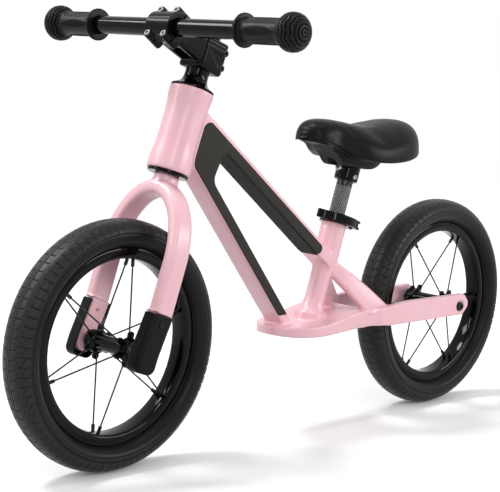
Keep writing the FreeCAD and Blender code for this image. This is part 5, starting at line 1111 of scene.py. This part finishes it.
# A station is its place x, the half width, the top and the lower edge, in millimetres.
SADDLE_STATIONS = [
    (-8, 11, 410, 398.5), (-10.5, 18, 415.5, 395.5), (-17, 25, 421.5, 394.5), (-28, 30, 424.8, 394),
    (-46, 34.5, 424.2, 388), (-66, 43, 420.8, 377), (-90, 55, 416.4, 369.5), (-115, 61, 414.6, 367),
    (-145, 62, 418.6, 367.5), (-170, 59.5, 423.2, 370.5), (-190, 53, 424.8, 375), (-204, 43, 421.8, 380.5),
    (-212, 30, 415, 387.5), (-215, 16, 408, 393),
]


def saddle_mesh(name, shrink):
    """At each station, half width w, top t and lower edge e: y = w cos(turn) and z = e + (t - e) sin(turn),
    where the cosine and sine are to the power 0.8 with their sign. Then it goes back underneath, rising from
    the rim to e + 4.8. Both ends close over END_CAP: a share of the last section's size, a step along x."""
    line = smooth_line(SADDLE_STATIONS, 2.0)
    x, w, t, e = line.T
    w = w - shrink
    t = t - shrink
    turn = np.linspace(0, np.pi, 72)[None]
    over_y = np.sign(np.cos(turn)) * np.abs(np.cos(turn)) ** ROUNDNESS * w[:, None]
    over_z = e[:, None] + (t - e)[:, None] * np.sin(turn) ** ROUNDNESS
    back = np.linspace(-1, 1, 30)[None, 1:-1]
    under_y = back * w[:, None]
    height = np.minimum(HOLLOW, 0.35 * (t - e))[:, None]
    rise = np.clip((1 - np.abs(back)) / 0.25, 0, 1)
    under_z = e[:, None] + height * rise * rise * (3 - 2 * rise)
    y = np.hstack([over_y, under_y])
    z = np.hstack([over_z, under_z])
    points = np.stack([x[:, None] + 0 * y, y, z], -1)
    middle = points.mean(axis=1, keepdims=True)
    nose = [middle[0] + (points[0] - middle[0]) * share + (step, 0, 0) for share, step in END_CAP]
    tail = [middle[-1] + (points[-1] - middle[-1]) * share - (step, 0, 0) for share, step in END_CAP[::-1]]
    return grid_mesh(name, np.stack([*nose, *points, *tail]) * MM, False, True)


# The half width and the top start 1.2 mm short, which leaves room for the swelling.
SADDLE_SWELL = 1.2
saddle = outward(saddle_mesh("saddle_cushion", SADDLE_SWELL))
print("saddle points", len(saddle.vertices))

# %% Swelling the pad
PAD_VOXEL = 4.0 * MM
NEAREST = 24
MOST_MOVE = 3.0 * MM
PAD_EDGE = 378 * MM
PAD_RISE = 20 * MM
CLOTH_STEPS = 20
AIR_PRESSURE = 4


def swollen(mesh):
    """The mesh moved as its skin moves in 20 steps of cloth with air pressure. The skin is a coarse copy, and
    each point of the mesh takes the mean move of its nearest skin points, cut off at 3 mm. The base moves
    least."""
    skin = voxel_skin("pad", mesh, PAD_VOXEL)
    start = points_of(skin)
    holder = bpy.data.objects.new("pad", skin)
    bpy.context.scene.collection.objects.link(holder)
    cloth = holder.modifiers.new("Cloth", "CLOTH")
    cloth.settings.use_pressure = True
    cloth.settings.uniform_pressure_force = AIR_PRESSURE
    cloth.settings.effector_weights.gravity = 0
    cloth.settings.tension_stiffness = 40
    cloth.settings.bending_stiffness = 2
    scene = bpy.context.scene
    for step in range(1, CLOTH_STEPS + 1):
        scene.frame_set(step)
    graph = bpy.context.evaluated_depsgraph_get()
    result = bpy.data.meshes.new_from_object(holder.evaluated_get(graph))
    bpy.data.objects.remove(holder)
    scene.frame_set(1)
    move = points_of(result) - start
    finder = KDTree(len(start))
    for index, point in enumerate(start):
        finder.insert(point, index)
    finder.balance()
    points = points_of(mesh)
    hits = [[hit[1] for hit in finder.find_n(point, NEAREST)] for point in points]
    local = np.array([move[near].mean(axis=0) for near in hits])
    size = np.linalg.norm(local, axis=1)[:, None]
    base = np.clip((points[:, 2:] - PAD_EDGE) / PAD_RISE, 0.15, 1)
    set_points(mesh, points + local * np.minimum(1, MOST_MOVE / np.maximum(size, 1e-9)) * base)
    print("pad swelled by up to", round(float(size.max()) * 1000, 1), "mm before the cap")


swollen(saddle)

# %% [markdown]
# ### Vinyl
# Saddle vinyl is a calendered sheet with a leather grain rolled into it: irregular cells about a millimetre
# across with fine creases between them, and a satin gloss that shows the saddle's form in one long soft
# highlight.

# %% Vinyl skin
vinyl, tree, shader = new_material(
    "leather_grain_vinyl", "#070707", Roughness=0.36, IOR=1.52, Specular_IOR_Level=0.11
)
place = add(tree, "TexCoord")
cells = add(tree, "TexVoronoi", {"Vector": place.outputs["Object"]}, {"Scale": per_metre(1.3)})
creases = fading(tree, cells.outputs["Distance"], 0.2, 0.75)
tint(tree, shader, grain(tree, 35).outputs["Fac"], "#060606", "#0A0A0A")
vary(tree, shader, grain(tree, 6, detail=3.0).outputs["Fac"], "Roughness", 0.34, 0.4)
relief(tree, shader, creases, 0.02, 0.4, edge_mm=0.5)

# %% Saddle pad
node = "saddle_pad"
pad = piece("saddle_cushion", outward(saddle), vinyl, body_of[node], [node])
round_off = pad.modifiers.new("round_off", "SUBSURF")
round_off.levels = 1
round_off.render_levels = 1

# %% [markdown]
# ## Measuring the result
# The finished bike's box is measured, and how far it grew past the CAD model's box is printed. The
# finished bike has to fill the same box as the CAD model, to a few millimetres.

# %% Sizes and the end
low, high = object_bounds()
grown = (*np.subtract(cad_low, low), *np.subtract(high, cad_high))
print("box grew by", [round(1000 * float(v), 2) for v in grown])
